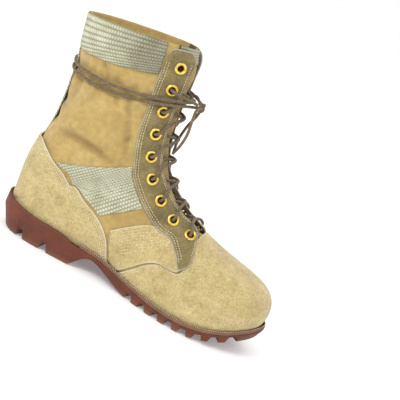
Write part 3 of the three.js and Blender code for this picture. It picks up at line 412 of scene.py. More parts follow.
# The lace wound round the shaft, in turns from the front
WRAP_FRONT = 17.3
WRAP_RISE = 2.3
WRAP_PITCH = 0.36
WRAP_TURNS = 2


def wrap_t(around, turn):
    return WRAP_FRONT + WRAP_RISE * np.abs(around) ** 1.3 + WRAP_PITCH * turn


# Folds of the canvas: side, line from and to as shares of sole length and shaft height,
# half width and depth in millimetres. Side 0 is both. A negative depth is a ridge.
FOLDS = [
    (-1, (0.1, 0.475), (0.3, 0.462), 4.5, 2.6),
    (-1, (0.08, 0.51), (0.3, 0.5), 6, -2.2),
    (-1, (0.28, 0.5), (0.34, 0.6), 4, 1.5),
    (-1, (0.26, 0.73), (0.33, 0.52), 4, 1.8),
    (-1, (0.29, 0.73), (0.36, 0.5), 5, -1.4),
    (-1, (0.12, 0.7), (0.2, 0.55), 8, -1.6),
    (-1, (0.2, 0.76), (0.23, 0.68), 3.5, 1.6),
    (-1, (0.06, 0.72), (0.08, 0.6), 5, 1.4),
    (-1, (0.14, 0.79), (0.17, 0.73), 3, 2),
    (-1, (0.3, 0.79), (0.33, 0.74), 3, 1.4),
    (1, (0.08, 0.49), (0.32, 0.5), 4.5, 2.2),
    (1, (0.1, 0.53), (0.32, 0.54), 6, -1.8),
    (1, (0.24, 0.72), (0.3, 0.55), 4.5, 1.6),
    (1, (0.14, 0.7), (0.17, 0.57), 6, -1.4),
    (1, (0.1, 0.79), (0.12, 0.73), 3, 1.8),
    (1, (0.22, 0.79), (0.24, 0.73), 3, 1.8),
    (0, (0.0, 0.6), (0.06, 0.56), 5, 1.8),
    (0, (0.0, 0.52), (0.05, 0.5), 5, 1.6),
    (-1, (0.36, 0.235), (0.46, 0.28), 4, 0.8),
]
# Creases of the suede foot
CREASES = [
    (0, (0.66, 0.3), (0.72, 0.18), 5, 1.1),
    (0, (0.69, 0.3), (0.76, 0.16), 6, -0.7),
    (0, (0.73, 0.28), (0.79, 0.17), 4.5, 0.9),
    (-1, (0.62, 0.16), (0.7, 0.1), 5, 0.8),
    (1, (0.6, 0.17), (0.7, 0.12), 5, 0.8),
    (-1, (0.1, 0.3), (0.06, 0.16), 9, 0.9),
    (1, (0.14, 0.31), (0.1, 0.17), 8, 0.8),
    (0, (0.2, 0.22), (0.32, 0.13), 8, -0.6),
]


def relief(points, folds):
    total = np.zeros(points.shape[:-1])
    for side, start, end, width, depth in folds:
        p = np.array([start[0] * SOLE_LENGTH, start[1] * SHAFT_HEIGHT])
        q = np.array([end[0] * SOLE_LENGTH, end[1] * SHAFT_HEIGHT])
        xz = points[..., [0, 2]]
        s = np.clip(((xz - p) @ (q - p)) / ((q - p) @ (q - p)), 0, 1)
        bow = 3 * MM * np.sin(s * math.pi)[..., None] * np.array([0.4, 1.0])
        d = np.linalg.norm(xz - (p + s[..., None] * (q - p) + bow), axis=-1)
        taper = np.sin(np.clip(s * 0.8 + 0.1, 0, 1) * math.pi) ** 0.5
        mask = 1.0 if side == 0 else ease(points[..., 1] * side, -4 * MM, 10 * MM)
        total -= depth * MM * np.exp(-(d / (width * MM)) ** 2) * taper * mask
    return total


def rumple(points, size, height):
    """Low uneven waves, as worn cloth has."""
    x, y, z = (points[..., k] / size for k in range(3))
    wave = np.sin(1.7 * x + 2.1 * np.sin(0.9 * z + 1.1) + 0.6 * y)
    wave += np.sin(2.3 * z + 1.6 * np.sin(1.3 * x + 0.7) - 0.8 * y)
    wave += 0.5 * np.sin(4.1 * x - 3.3 * z + 2.9 * y + 1.7)
    return height * wave / 2.5


def wrap_pinch(t, a, points):
    """The canvas drawn in under the wound lace, with small pleats beside it."""
    shift = np.zeros(np.shape(t))
    around = np.abs(a)
    for turn in (0.5, 1.5):
        away = (t - wrap_t(around, turn)) * T_LENGTH
        arc = a * half_length(t, 1)
        pleat = 1.0 * MM * np.sin(arc / (2.6 * MM) + 2 * np.sin(arc / (9 * MM)))
        shift -= 2.2 * MM * np.exp(-(away / (5 * MM)) ** 2)
        shift += pleat * np.exp(-(away / (9 * MM)) ** 2)
    return shift * ease(around, 0.3, 0.45)


def canvas_relief(t, a, points):
    shift = 1.5 * relief(points, FOLDS) + wrap_pinch(t, a, points)
    shift += rumple(points, 14 * MM, 0.9 * MM)
    open_zone = ease(t, 13.2, 14.2) * (1 - 0.7 * ease(t, 20.3, 21.5))
    front = 1 - 0.6 * (1 - ease(np.abs(a), 0.3, 0.5))
    return np.clip(shift * open_zone * front, -5.5 * MM, 3.5 * MM)


def suede_relief(t, a, points):
    return relief(points, CREASES) + rumple(points, 22 * MM, 0.25 * MM)


# Mesh makers

def shift_to_frame(points):
    moved = np.array(points, float)
    moved[..., 0] -= HEEL_REST
    return moved


def make_object(name, points, faces, material, uvs=None, values=None):
    mesh = bpy.data.meshes.new(name)
    mesh.from_pydata(shift_to_frame(points).tolist(), [], [list(map(int, f)) for f in faces])
    mesh.validate()
    if uvs is not None:
        layer = mesh.uv_layers.new(name="cloth")
        loops = np.zeros(len(mesh.loops), int)
        mesh.loops.foreach_get("vertex_index", loops)
        layer.data.foreach_set("uv", np.asarray(uvs)[loops].astype(np.float32).ravel())
    for key, value in (values or {}).items():
        attribute = mesh.attributes.new(key, "FLOAT", "POINT")
        attribute.data.foreach_set("value", np.asarray(value, np.float32))
    mesh.polygons.foreach_set("use_smooth", np.ones(len(mesh.polygons), bool))
    mesh.materials.append(material)
    piece = bpy.data.objects.new(name, mesh)
    bpy.context.scene.collection.objects.link(piece)
    return piece


def finish_piece(piece, nodes):
    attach(piece, "root")
    if nodes:
        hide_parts(*nodes)
    return piece


def reach_along(points):
    """Running distance along a path."""
    return np.concatenate([[0], np.cumsum(np.linalg.norm(np.diff(points, axis=0), axis=-1))])


def steps_along(points, axis):
    """Running distance along one axis of a lattice."""
    pad = [(0, 0), (0, 0)]
    pad[axis] = (1, 0)
    return np.pad(np.cumsum(np.linalg.norm(np.diff(points, axis=axis), axis=-1), axis), pad)


def point_on(path, reach, at):
    """Points of a path at running distances."""
    return np.stack([np.interp(at, reach, path[:, c]) for c in range(3)], -1)


def spaced(count, free_low, free_high):
    u = np.linspace(0, 1, count + 1)
    extra = []
    if free_low:
        extra += [u[1] * s for s in (0.12, 0.3, 0.6)]
    if free_high:
        extra += [1 - u[1] * s for s in (0.12, 0.3, 0.6)]
    return np.sort(np.concatenate([u, extra]))


def edge_distance(points, free):
    """Distance of each lattice point from the free ones of its borders: the first and the last row,
    the first and the last column."""
    far = np.full(points.shape[:2], 1.0)
    for axis in (0, 1):
        reach = steps_along(points, axis)
        if free[2 * axis]:
            far = np.minimum(far, reach)
        if free[2 * axis + 1]:
            far = np.minimum(far, np.take(reach, [-1], axis) - reach)
    return far


def taken(source, *place):
    """A value as it is, or what a function says of a place."""
    return source(*place) if callable(source) else source


EDGE_ROUND = 1.0 * MM


def layer(name, grids, low, thick, material, shift=None, values=None):
    """A sheet over the last: its rounded outer face, its inner face and its rim.
    grids: (t, a, free borders) each. low: height above the last. shift: added to both faces."""
    base, outer, inner, uvs, edge, extra, blocks = [], [], [], [], [], {}, []
    for t, a, borders in grids:
        points = surface(t, a)
        out = outward(t, a)
        foot = (np.abs(np.abs(a) - 1) < 1e-9) & (t <= HEEL_ROW)
        out[foot] *= (1, 1, 0)
        out /= np.maximum(np.linalg.norm(out, axis=-1, keepdims=True), 1e-9)
        away = edge_distance(points, borders)
        move = shift(t, a, points) if shift is not None else np.zeros(t.shape)
        height = taken(low, t, a) + move
        round_off = np.sqrt(np.clip(1 - (1 - np.clip(away / EDGE_ROUND, 0.12, 1)) ** 2, 0, 1))
        high = points + out * (height + taken(thick, t, a, points) * round_off)[..., None]
        under = points + out * height[..., None]
        blocks.append((sum(len(b) for b in base), t.shape))
        base.append(points.reshape(-1, 3))
        outer.append(high.reshape(-1, 3))
        inner.append(under.reshape(-1, 3))
        uvs.append(np.stack([arc_at(t, a), t * T_LENGTH], -1).reshape(-1, 2))
        edge.append((1 - ease(away, 0.5 * MM, 1.3 * MM)).ravel())
        for key, source in (values or {}).items():
            value = np.broadcast_to(taken(source, t, a, points), t.shape)
            extra.setdefault(key, []).append(value.ravel())
    base = np.concatenate(base)
    code = np.round(base / (0.01 * MM)).astype(np.int64)
    _, kept, merged = np.unique(code, axis=0, return_index=True, return_inverse=True)
    merged = merged.ravel()
    base, outer, inner = base[kept], np.concatenate(outer)[kept], np.concatenate(inner)[kept]
    uvs, edge = np.concatenate(uvs)[kept], np.concatenate(edge)[kept]
    extra = {key: np.concatenate(f)[kept] for key, f in extra.items()}
    faces = []
    for start, (height, width) in blocks:
        index = merged[start:start + height * width].reshape(height, width)
        quads = np.stack([index[:-1, :-1], index[:-1, 1:], index[1:, 1:], index[1:, :-1]], -1)
        for quad in quads.reshape(-1, 4).tolist():
            corners = list(dict.fromkeys(quad))
            if len(corners) >= 3:
                faces.append(corners)
    count = len(base)
    edges = {(q, f[(i + 1) % len(f)]): True for f in faces for i, q in enumerate(f)}
    inner_faces = [[q + count for q in reversed(f)] for f in faces]
    rim = [[i + count, i, j, j + count] for i, j in edges if (j, i) not in edges]
    piece = make_object(
        name, np.concatenate([outer, inner]), faces + inner_faces + rim, material,
        uvs=np.concatenate([uvs, uvs]),
        values={"edge": np.concatenate([edge, np.ones(count)]),
                **{key: np.concatenate([v, v]) for key, v in extra.items()}},
    )
    form = bmesh.new()
    form.from_mesh(piece.data)
    bmesh.ops.recalc_face_normals(form, faces=form.faces)
    form.to_mesh(piece.data)
    form.free()
    return piece


def tube_faces(rows, size, base=0):
    """Quads of a tube of closed loops, with both ends filled."""
    faces = []
    for low in range(base, base + (rows - 1) * size, size):
        for k in range(size):
            after = (k + 1) % size
            faces.append((low + k, low + after, low + size + after, low + size + k))
    faces.append(tuple(base + k for k in reversed(range(size))))
    faces.append(tuple(base + (rows - 1) * size + k for k in range(size)))
    return faces


def ruled(first, second, v):
    """Lattice between two edges, each arrays of t and a."""
    t = first[0][:, None] + (second[0] - first[0])[:, None] * v
    a = first[1][:, None] + (second[1] - first[1])[:, None] * v
    return t, a


def edge_through(places, u):
    k = np.linspace(0, 1, len(places))
    t = curve(k, [p[0] for p in places])(u)
    a = curve(k, [p[1] for p in places])(u)
    return t, a


# Colours and materials

def srgb(red, green, blue):
    def linear(value):
        value /= 255
        return value / 12.92 if value <= 0.04045 else ((value + 0.055) / 1.055) ** 2.4

    return (linear(red), linear(green), linear(blue), 1.0)


class Paint:
    """A material and short words for its nodes."""

    def __init__(self, name, roughness, **sockets):
        self.material = bpy.data.materials.new(name)
        self.material.use_nodes = True
        self.tree = self.material.node_tree
        self.shader = self.tree.nodes["Principled BSDF"]
        self.shader.inputs["Roughness"].default_value = roughness
        for key, value in sockets.items():
            self.shader.inputs[key.replace("_", " ")].default_value = value
        self.place = self.tree.nodes.new("ShaderNodeTexCoord")

    def link(self, start, end):
        self.tree.links.new(start, end)

    def feed(self, socket, source):
        """Links a socket to an output, or sets its value."""
        if hasattr(source, "is_output"):
            self.link(source, socket)
        else:
            socket.default_value = source

    def noise(self, scale, detail=4, roughness=0.6):
        node = self.tree.nodes.new("ShaderNodeTexNoise")
        node.inputs["Scale"].default_value = scale
        node.inputs["Detail"].default_value = detail
        node.inputs["Roughness"].default_value = roughness
        self.link(self.place.outputs["Object"], node.inputs["Vector"])
        return node.outputs["Fac"]

    def value(self, name):
        node = self.tree.nodes.new("ShaderNodeAttribute")
        node.attribute_name = name
        return node.outputs["Fac"]

    def ramp(self, source, *stops):
        node = self.tree.nodes.new("ShaderNodeValToRGB")
        ramp = node.color_ramp
        ramp.elements[0].position, ramp.elements[0].color = stops[0]
        ramp.elements[1].position, ramp.elements[1].color = stops[-1]
        for place, colour in stops[1:-1]:
            ramp.elements.new(place).color = colour
        self.link(source, node.inputs["Fac"])
        return node.outputs["Color"]

    def mix(self, factor, first, second, kind="MIX"):
        node = self.tree.nodes.new("ShaderNodeMix")
        node.data_type = "RGBA"
        node.blend_type = kind
        for socket, source in ((0, factor), (6, first), (7, second)):
            self.feed(node.inputs[socket], source)
        return node.outputs[2]

    def math(self, kind, first, second=0.0):
        node = self.tree.nodes.new("ShaderNodeMath")
        node.operation = kind
        self.feed(node.inputs[0], first)
        self.feed(node.inputs[1], second)
        return node.outputs[0]

    def weave(self, across, along):
        """Threads over and under, from the cloth's own coordinates, as pitches in metres."""
        split = self.tree.nodes.new("ShaderNodeSeparateXYZ")
        self.link(self.place.outputs["UV"], split.inputs[0])
        first = self.math("SINE", self.math("MULTIPLY", split.outputs[0], 2 * math.pi / across))
        second = self.math("SINE", self.math("MULTIPLY", split.outputs[1], 2 * math.pi / along))
        return self.math("MULTIPLY", first, second)

    def colour(self, source):
        self.link(source, self.shader.inputs["Base Color"])

    def rough(self, source, low, high):
        """Roughness that follows a pattern."""
        shades = self.ramp(source, (0.3, (low, low, low, 1)), (0.7, (high, high, high, 1)))
        self.link(shades, self.shader.inputs["Roughness"])

    def bump(self, source, distance, strength):
        node = self.tree.nodes.new("ShaderNodeBump")
        node.inputs["Distance"].default_value = distance
        node.inputs["Strength"].default_value = strength
        self.link(source, node.inputs["Height"])
        self.link(node.outputs["Normal"], self.shader.inputs["Normal"])


def suede_material(name, deep, middle, pale, cut):
    paint = Paint(name, 0.95, Sheen_Weight=0.25, Sheen_Roughness=0.6)
    broad = paint.noise(60, 6, 0.7)
    nap = paint.noise(520, 5, 0.75)
    colour = paint.ramp(broad, (0.3, deep), (0.5, middle), (0.68, pale))
    dark, light, bright = srgb(120, 100, 62), srgb(205, 190, 150), srgb(240, 230, 196)
    flecks = paint.ramp(nap, (0.34, dark), (0.5, light), (0.66, bright))
    colour = paint.mix(0.42, colour, flecks, "OVERLAY")
    colour = paint.mix(paint.math("MULTIPLY", paint.value("edge"), 0.8), colour, cut)
    colour = paint.mix(paint.value("grime_and_shade"), colour, srgb(96, 80, 52), "MULTIPLY")
    paint.colour(colour)
    grain = paint.math("ADD", paint.noise(900, 3, 0.7), paint.math("MULTIPLY", nap, 0.8))
    paint.bump(grain, 0.0007, 0.7)
    return paint.material


def canvas_material(name, deep, middle, pale):
    paint = Paint(name, 0.9, Sheen_Weight=0.15)
    broad = paint.noise(30, 5, 0.6)
    streak = paint.noise(160, 4, 0.6)
    colour = paint.ramp(broad, (0.3, deep), (0.5, middle), (0.7, pale))
    streaks = paint.ramp(streak, (0.35, srgb(150, 118, 60)), (0.65, srgb(232, 214, 160)))
    colour = paint.mix(0.2, colour, streaks, "OVERLAY")
    weave = paint.weave(0.0011, 0.0011)
    threads = paint.ramp(weave, (0.0, srgb(90, 66, 26)), (0.6, srgb(236, 214, 150)))
    colour = paint.mix(0.16, colour, threads, "OVERLAY")
    # Multiplied darker where a piece asks: painted shade in the canvas folds and where the eyestays cover
    # the tongue, and a slight even darkening elsewhere
    colour = paint.mix(paint.value("grime_and_shade"), colour, srgb(140, 112, 64), "MULTIPLY")
    paint.colour(colour)
    paint.bump(paint.math("ADD", weave, paint.math("MULTIPLY", streak, 1.2)), 0.0003, 0.6)
    return paint.material


def webbing_material(name, dark, middle, pale):
    paint = Paint(name, 0.92, Sheen_Weight=0.1)
    weave = paint.value("weave")
    tone = paint.ramp(paint.noise(60, 4, 0.6), (0.35, middle), (0.65, pale))
    colour = paint.mix(paint.math("POWER", weave, 0.8), dark, tone)
    colour = paint.mix(paint.value("grime_and_shade"), colour, srgb(110, 100, 78), "MULTIPLY")
    paint.colour(colour)
    paint.bump(paint.noise(1400, 2, 0.6), 0.0003, 0.5)
    return paint.material


def rubber_material(name, deep, middle, dusty):
    paint = Paint(name, 0.55, Specular_IOR_Level=0.4)
    broad = paint.noise(45, 6, 0.65)
    colour = paint.ramp(broad, (0.3, deep), (0.55, middle), (0.78, dusty))
    colour = paint.mix(paint.value("grime_and_shade"), colour, srgb(150, 120, 96))
    paint.colour(colour)
    paint.rough(broad, 0.45, 0.75)
    paint.bump(paint.math("ADD", paint.noise(700, 3, 0.6), broad), 0.0004, 0.35)
    return paint.material


def brass_material():
    paint = Paint("brass", 0.3, Metallic=0.85)
    tone = paint.noise(260, 4, 0.6)
    deep, middle, pale = srgb(196, 158, 62), srgb(238, 208, 104), srgb(250, 232, 150)
    paint.colour(paint.ramp(tone, (0.3, deep), (0.6, middle), (0.8, pale)))
    paint.rough(tone, 0.42, 0.24)
    paint.bump(tone, 0.0001, 0.3)
    return paint.material


def lace_material():
    paint = Paint("lace", 0.85, Sheen_Weight=0.15)
    braid = paint.value("weave")
    tone = paint.ramp(paint.noise(300, 3, 0.6), (0.35, srgb(112, 92, 66)), (0.65, srgb(150, 130, 98)))
    paint.colour(paint.mix(braid, srgb(62, 48, 33), tone))
    paint.bump(paint.noise(1800, 2, 0.6), 0.0002, 0.4)
    return paint.material


def thread_material():
    paint = Paint("thread", 0.8)
    tone = paint.noise(500, 3, 0.6)
    paint.colour(paint.ramp(tone, (0.35, srgb(178, 162, 120)), (0.65, srgb(236, 226, 192))))
    paint.bump(tone, 0.0001, 0.3)
    return paint.material


SUEDE_PAINT = suede_material(
    "suede", srgb(160, 145, 101), srgb(177, 163, 120), srgb(190, 178, 138), srgb(214, 208, 184))
EYESTAY_PAINT = suede_material(
    "eyestay_suede", srgb(106, 96, 62), srgb(126, 115, 75), srgb(146, 134, 93), srgb(188, 182, 164))
CANVAS_PAINT = canvas_material("canvas", srgb(172, 150, 94), srgb(184, 162, 104), srgb(194, 174, 120))
LINING_PAINT = canvas_material("lining", srgb(146, 126, 78), srgb(160, 140, 90), srgb(172, 154, 106))
WEBBING_PAINT = webbing_material("webbing", srgb(84, 82, 60), srgb(192, 191, 160), srgb(220, 220, 194))
RUBBER_PAINT = rubber_material("rubber", srgb(78, 38, 23), srgb(102, 50, 31), srgb(122, 68, 46))
WELT_PAINT = rubber_material("welt_rubber", srgb(88, 56, 40), srgb(116, 80, 60), srgb(142, 106, 84))
BRASS_PAINT = brass_material()
LACE_PAINT = lace_material()
THREAD_PAINT = thread_material()


def sole_line_darkening(t, a, points):
    """Darker in a narrow band along the sole line."""
    return np.where(t < HEEL_ROW, 0.35 * (1 - ease((1 - np.abs(a)) * 60, 0.5, 7)), 0.0)


def canvas_fold_shade(t, a, points):
    """Painted shade in the folds."""
    return np.clip(-relief(points, FOLDS) / MM * 0.22, 0.0, 0.6)


# Sole

def ring_points(stations, offset, height):
    """Closed ring round the sole, outer side first."""
    points = []
    for side in (1, -1):
        turns = stations if side > 0 else stations[::-1]
        turns = turns[:-1]
        along = along_of(turns)
        flat = line_offset(side, turns, offset(along))
        points.append(np.concatenate([flat, height(along)[:, None]], 1))
    return np.concatenate(points)


# Places of the grooves, as shares of the sole line, and how they crowd towards the toe
LUG_START = 0.53
LUG_SPAN = 0.435
LUG_CROWDING = 0.92
HEEL_SPAN = 0.3


def groove_rise(along):
    """How far the grooves between the lugs lift the sole's lower edge."""
    x = line_x(along)
    rise = np.zeros(np.shape(along))
    for k in range(LUGS):
        place = LUG_START + LUG_SPAN * ((k + 0.5) / LUGS) ** LUG_CROWDING
        away = np.abs(x - line_x(place)) / (GROOVE_WIDTH / 2)
        rise = np.maximum(rise, LUG_DEPTH * np.clip(1.25 * (1 - away ** 3), 0, 1))
    for k in range(1, HEEL_LUGS):
        away = np.abs(x - line_x(HEEL_SPAN * k / HEEL_LUGS)) / (GROOVE_WIDTH / 2)
        rise = np.maximum(rise, HEEL_LUG_DEPTH * np.clip(1.2 * (1 - away ** 2), 0, 1))
    return rise


def narrow_half(along):
    turn = turn_of(along)
    return np.minimum(line_half(-1, turn), line_half(1, turn))


def closed_rings(rings):
    """Points and faces of a form through rings, its first and last ring filled across."""
    size = len(rings[0])
    faces = tube_faces(len(rings), size)[:-2]
    for base, flip in ((0, False), ((len(rings) - 1) * size, True)):
        for i in range(size // 2):
            quad = [base + i, base + i + 1, base + (size - i - 1) % size, base + (size - i) % size]
            quad = list(dict.fromkeys(quad))
            if len(quad) >= 3:
                faces.append(quad if flip else quad[::-1])
    return np.concatenate(rings), faces


SOLE_STATIONS = 420
UNDER_RINGS = 12
WALL_SHARES = [0.0, 0.05, 0.12, 0.22, 0.34, 0.46, 0.58, 0.68, 0.76, 0.82]


def under_ring(stations, share):
    """Ring of the tread: share 0 runs down the middle, 1 at the foot of the side."""
    def offset(along):
        middle = -narrow_half(along) * 0.999
        return middle + (side_foot(along) - 1.0 * MM - middle) * share

    def height(along):
        away = (1 - share) * (narrow_half(along) + side_foot(along))
        lift = 1 - ease(away, LUG_REACH - 2 * MM, LUG_REACH + 0.5 * MM)
        return sole_under(along) + groove_rise(along) * lift

    return ring_points(stations, offset, height)


def wall_height(share):
    def height(along):
        low = sole_under(along) + groove_rise(along)
        return low + (sole_top(along) - low) * share

    return height


def wall_offset(share):
    return lambda along: side_foot(along) + (side_rim(along) - side_foot(along)) * share


def rim_offset(inset):
    return lambda along: side_rim(along) - inset


def top_height(drop, lip):
    return lambda along: sole_top(along) - drop + side_lip(along) * lip


def make_outsole():
    turns = np.pi * np.arange(SOLE_STATIONS + 1) / SOLE_STATIONS
    stations = 0.25 * turns + 0.75 * turn_of(np.linspace(0, 1, SOLE_STATIONS + 1))
    stations[0], stations[-1] = 0, math.pi
    rings = [under_ring(stations, (k / UNDER_RINGS) ** 0.8) for k in range(UNDER_RINGS)]
    rings.append(ring_points(stations, lambda along: side_foot(along) - 0.5 * MM, wall_height(0.0)))
    for share in WALL_SHARES:
        rings.append(ring_points(stations, wall_offset(min(share * 1.15, 1)), wall_height(max(share, 0.04))))
    rings.append(ring_points(stations, side_rim, wall_height(0.88)))
    for inset, drop, lip in (
        (0, 0.6 * MM, 0.5), (0, 0.4 * MM, 1), (0.5 * MM, 0, 1), (LIP_WIDTH, 0, 1),
        (LIP_WIDTH + 0.3 * MM, 0, 0),
    ):
        rings.append(ring_points(stations, rim_offset(inset), top_height(drop, lip)))
    rings.append(ring_points(stations, lambda along: np.full(along.shape, -6 * MM), top_height(0, 0)))
    points, faces = closed_rings(rings)
    grime_and_shade = 0.35 * (1 - ease(points[:, 2], 0, 6 * MM))
    piece = make_object("outsole_rubber", points, faces, RUBBER_PAINT, values={"grime_and_shade": grime_and_shade})
    return finish_piece(piece, ["outsole"])


WELT_PITCH = 2.3 * MM
WELT_START = 0.32
RIB_STEPS = 6


def welt_place(share):
    """Side and turn of the sole line, from the inner waist round the toe to the outer waist."""
    start = float(turn_of(WELT_START))
    return np.where(share < 0.5, -1, 1), start + (math.pi - start) * (1 - np.abs(2 * share - 1))


def welt_line(share, distance):
    side_of, turn = welt_place(share)
    flat = np.zeros((len(share), 2))
    for side in (-1, 1):
        rows = side_of == side
        flat[rows] = line_offset(side, turn[rows], np.broadcast_to(distance, share.shape)[rows])
    return flat


def make_welt():
    """Ribbed strip on the sole's ledge. Returns the two ends of a stitch at each rib."""
    fine = np.linspace(0, 1, 1200)
    line = welt_line(fine, TOE_EDGE)
    reach = reach_along(line)
    ribs = int(round(reach[-1] / WELT_PITCH))
    share = np.interp(np.linspace(0, reach[-1], ribs * RIB_STEPS + 1), reach, fine)
    along = along_of(welt_place(share)[1])
    rib = 0.5 - 0.5 * np.cos(2 * math.pi * np.arange(len(share)) / RIB_STEPS)
    # The inner edge stands further out at the waist and the toe
    bulge = (1.9 * (1 - ease(np.abs(along - 0.44), 0.06, 0.2)) + 1.6 * ease(along, 0.8, 0.93)) * MM
    inner = GAP + SUEDE + GAP + 1.6 * MM + bulge
    outer = side_rim(along) - 0.1 * MM
    low = sole_top(along) + 0.3 * MM
    high = sole_top(along) + WELT_HEIGHT + GAP
    width = outer - inner
    profile = [
        (inner, low),
        (inner, high - 0.3 * MM),
        (inner + 0.12 * width, high),
        (inner + 0.45 * width, high - 0.35 * rib * MM),
        (outer - 1.1 * MM, high - 0.15 * MM - 0.55 * rib * MM),
        (outer - 0.4 * MM - 0.45 * rib * MM, high - 0.8 * MM),
        (outer - 0.5 * rib * MM, high - 1.9 * MM),
        (outer - 0.45 * rib * MM, low + 0.7 * MM),
        (outer - 0.3 * MM, low),
    ]
    points = np.zeros((len(share), len(profile), 3))
    for k, (offset, height) in enumerate(profile):
        points[:, k, :2] = welt_line(share, offset)
        points[:, k, 2] = height
    rows, size = points.shape[:2]
    faces = [face[::-1] for face in tube_faces(rows, size)]
    piece = make_object("welt_strip", points.reshape(-1, 3), faces, WELT_PAINT,
                        values={"grime_and_shade": np.repeat(0.25 * rib, size)})
    finish_piece(piece, ["welt"])
    groove = []
    for k in range(0, rows - RIB_STEPS, RIB_STEPS):
        start, end = points[k, 3], points[k + RIB_STEPS // 2, 3]
        groove.append((start + [0, 0, 0.25 * MM], end + [0, 0, 0.2 * MM]))
    return groove


INSOLE_STATIONS = 60
# Inset and height of the insole's side, in millimetres
INSOLE_SIDE = [(0, 0), (0, 1.2), (0, 2.4), (0.7, 2.9), (2, 3.0)]


def make_insole():
    stations = np.pi * np.arange(INSOLE_STATIONS + 1) / INSOLE_STATIONS
    inset = -(WALL + GAP + 0.9 * MM)

    def at(up):
        return lambda along: sole_top(along) + GAP + up

    def inwards(share):
        return lambda along: inset - 2 * MM - np.maximum(narrow_half(along) - 6 * MM, 0) * share

    rings = []
    for side_inset, height in INSOLE_SIDE:
        distance = inset - side_inset * MM
        rings.append(ring_points(stations, lambda along: np.full(along.shape, distance), at(height * MM)))
    rings += [ring_points(stations, inwards(k / 8), at(3 * MM)) for k in range(1, 8)]
    points, faces = closed_rings(rings)
    piece = make_object("footbed", points, faces, LINING_PAINT, uvs=points[:, :2],
                        values={"grime_and_shade": np.full(len(points), 0.1)})
    return finish_piece(piece, ["insole"])


# Upper

def make_upper():
    grids = []
    rows_low = np.linspace(0, THROAT_FOOT, 50)
    rows_high = np.linspace(THROAT_FOOT, LAST, 190)
    rows = np.concatenate([rows_low, rows_high[1:]])
    for side in (-1, 1):
        cover = share_at(rows, side, canvas_edge(rows) * np.minimum(rows / 3, 1))
        cover[rows == 0] = side * 0.4
        v = np.linspace(0, 1, 57)
        a = cover[:, None] + (side - cover[:, None]) * v
        a[:, -1] = side
        grids.append((np.repeat(rows[:, None], len(v), 1), a, (False, True, False, False)))
        cover = cover[:len(rows_low)]
        v = np.linspace(0, 1, 14)
        t = np.repeat(rows_low[:, None], len(v), 1)
        grids.append((t, cover[:, None] * v, (False, False, False, False)))
    # The canvas is darkened in its folds as painted shade
    piece = layer("canvas_shaft", grids, -WALL, WALL, CANVAS_PAINT, shift=canvas_relief,
                  values={"grime_and_shade": canvas_fold_shade})
    return finish_piece(piece, ["upper"])


COUNTER_FRONT = [(0.052, 0.398), (0.123, 0.35), (0.212, 0.3), (0.3, 0.256), (0.352, 0.226),
                 (0.392, 0.185), (0.415, 0.145)]
COUNTER_TOP = 0.405
COUNTER_FOOT_ALONG = 0.44
COUNTER_EASE = 0.35 * MM


def counter_edge(side):
    top = (seam_place(COUNTER_TOP * SHAFT_HEIGHT), side)
    foot = (place_on_line(COUNTER_FOOT_ALONG), side)
    places = [foot] + drawn(side, COUNTER_FRONT)[::-1] + [top]
    return curve([p[0] for p in places], [abs(p[1]) for p in places]), foot[0], top[0]


def counter_low(t, a):
    return GAP + COUNTER_EASE * (ease(np.abs(a), 0.55, 0.9) + 4 * ease(t, 14.6, 16))


def make_counter():
    grids = []
    for side in (-1, 1):
        front, foot_t, top_t = counter_edge(side)
        low = np.linspace(foot_t, HEEL_ROW, 64)
        high = np.linspace(HEEL_ROW, top_t, 40)
        rows = np.concatenate([low, high[1:]])
        share = np.minimum(front(rows), 1)
        v = spaced(44, True, False)
        a = side * (share[:, None] + (1 - share[:, None]) * v ** 0.9)
        a[:, -1] = side
        t = np.repeat(rows[:, None], len(v), 1)
        grids.append((t, a, (False, True, True, False)))
    piece = layer("counter_suede", grids, counter_low, SUEDE, SUEDE_PAINT, shift=suede_relief,
                  values={"grime_and_shade": sole_line_darkening})
    return finish_piece(piece, ["counter"])


VAMP_REAR = [(0.667, 0.31), (0.68, 0.24), (0.675, 0.2), (0.65, 0.193), (0.61, 0.192), (0.573, 0.17),
             (0.53, 0.12)]
VAMP_FOOT_ALONG = 0.475


def vamp_edge(side):
    places = [(THROAT_FOOT, 0)] + drawn(side, VAMP_REAR) + [(place_on_line(VAMP_FOOT_ALONG), side)]
    return curve([abs(p[1]) for p in places], [p[0] for p in places])


def make_vamp():
    grids = []
    for side in (-1, 1):
        share = np.linspace(0, 1, 70)
        rear = vamp_edge(side)(share)
        u = spaced(80, False, True)
        t = u[:, None] * rear[None, :]
        a = np.repeat((side * share)[None, :], len(u), 0)
        grids.append((t, a, (False, True, False, False)))
    piece = layer("vamp_suede", grids, GAP, SUEDE, SUEDE_PAINT, shift=suede_relief,
                  values={"grime_and_shade": sole_line_darkening})
    return finish_piece(piece, ["vamp"])


PANEL_TOP = [(0.402, 0.215), (0.45, 0.262), (0.5, 0.297), (0.545, 0.308)]
PANEL_EASE = 0.2 * MM


def panel_edges(side, u):
    rear = vamp_edge(side)
    throat_low = THROAT_FOOT + 0.12
    corner = (7.6, float(share_at(7.6, side, canvas_edge(7.6) + MM)))
    corner_share = abs(float(share_at(throat_low, side, canvas_edge(throat_low) + MM)))
    share = 1 + (corner_share - 1) * u
    low = (rear(share) + 0.1, side * share)
    upper = edge_through(drawn(side, PANEL_TOP) + [corner], u)
    return low, upper


def make_side_panel(side, name):
    u = np.linspace(0, 1, 45)
    low, upper = panel_edges(side, u)
    v = spaced(34, True, True)
    t, a = ruled(low, upper, v)
    piece = layer(f"side_panel_{name}_suede", [(t, a, (False, False, True, True))], GAP + PANEL_EASE,
                  SUEDE - PANEL_EASE, SUEDE_PAINT, shift=suede_relief, values={"grime_and_shade": sole_line_darkening})
    return finish_piece(piece, [f"side_panel_{name}"])


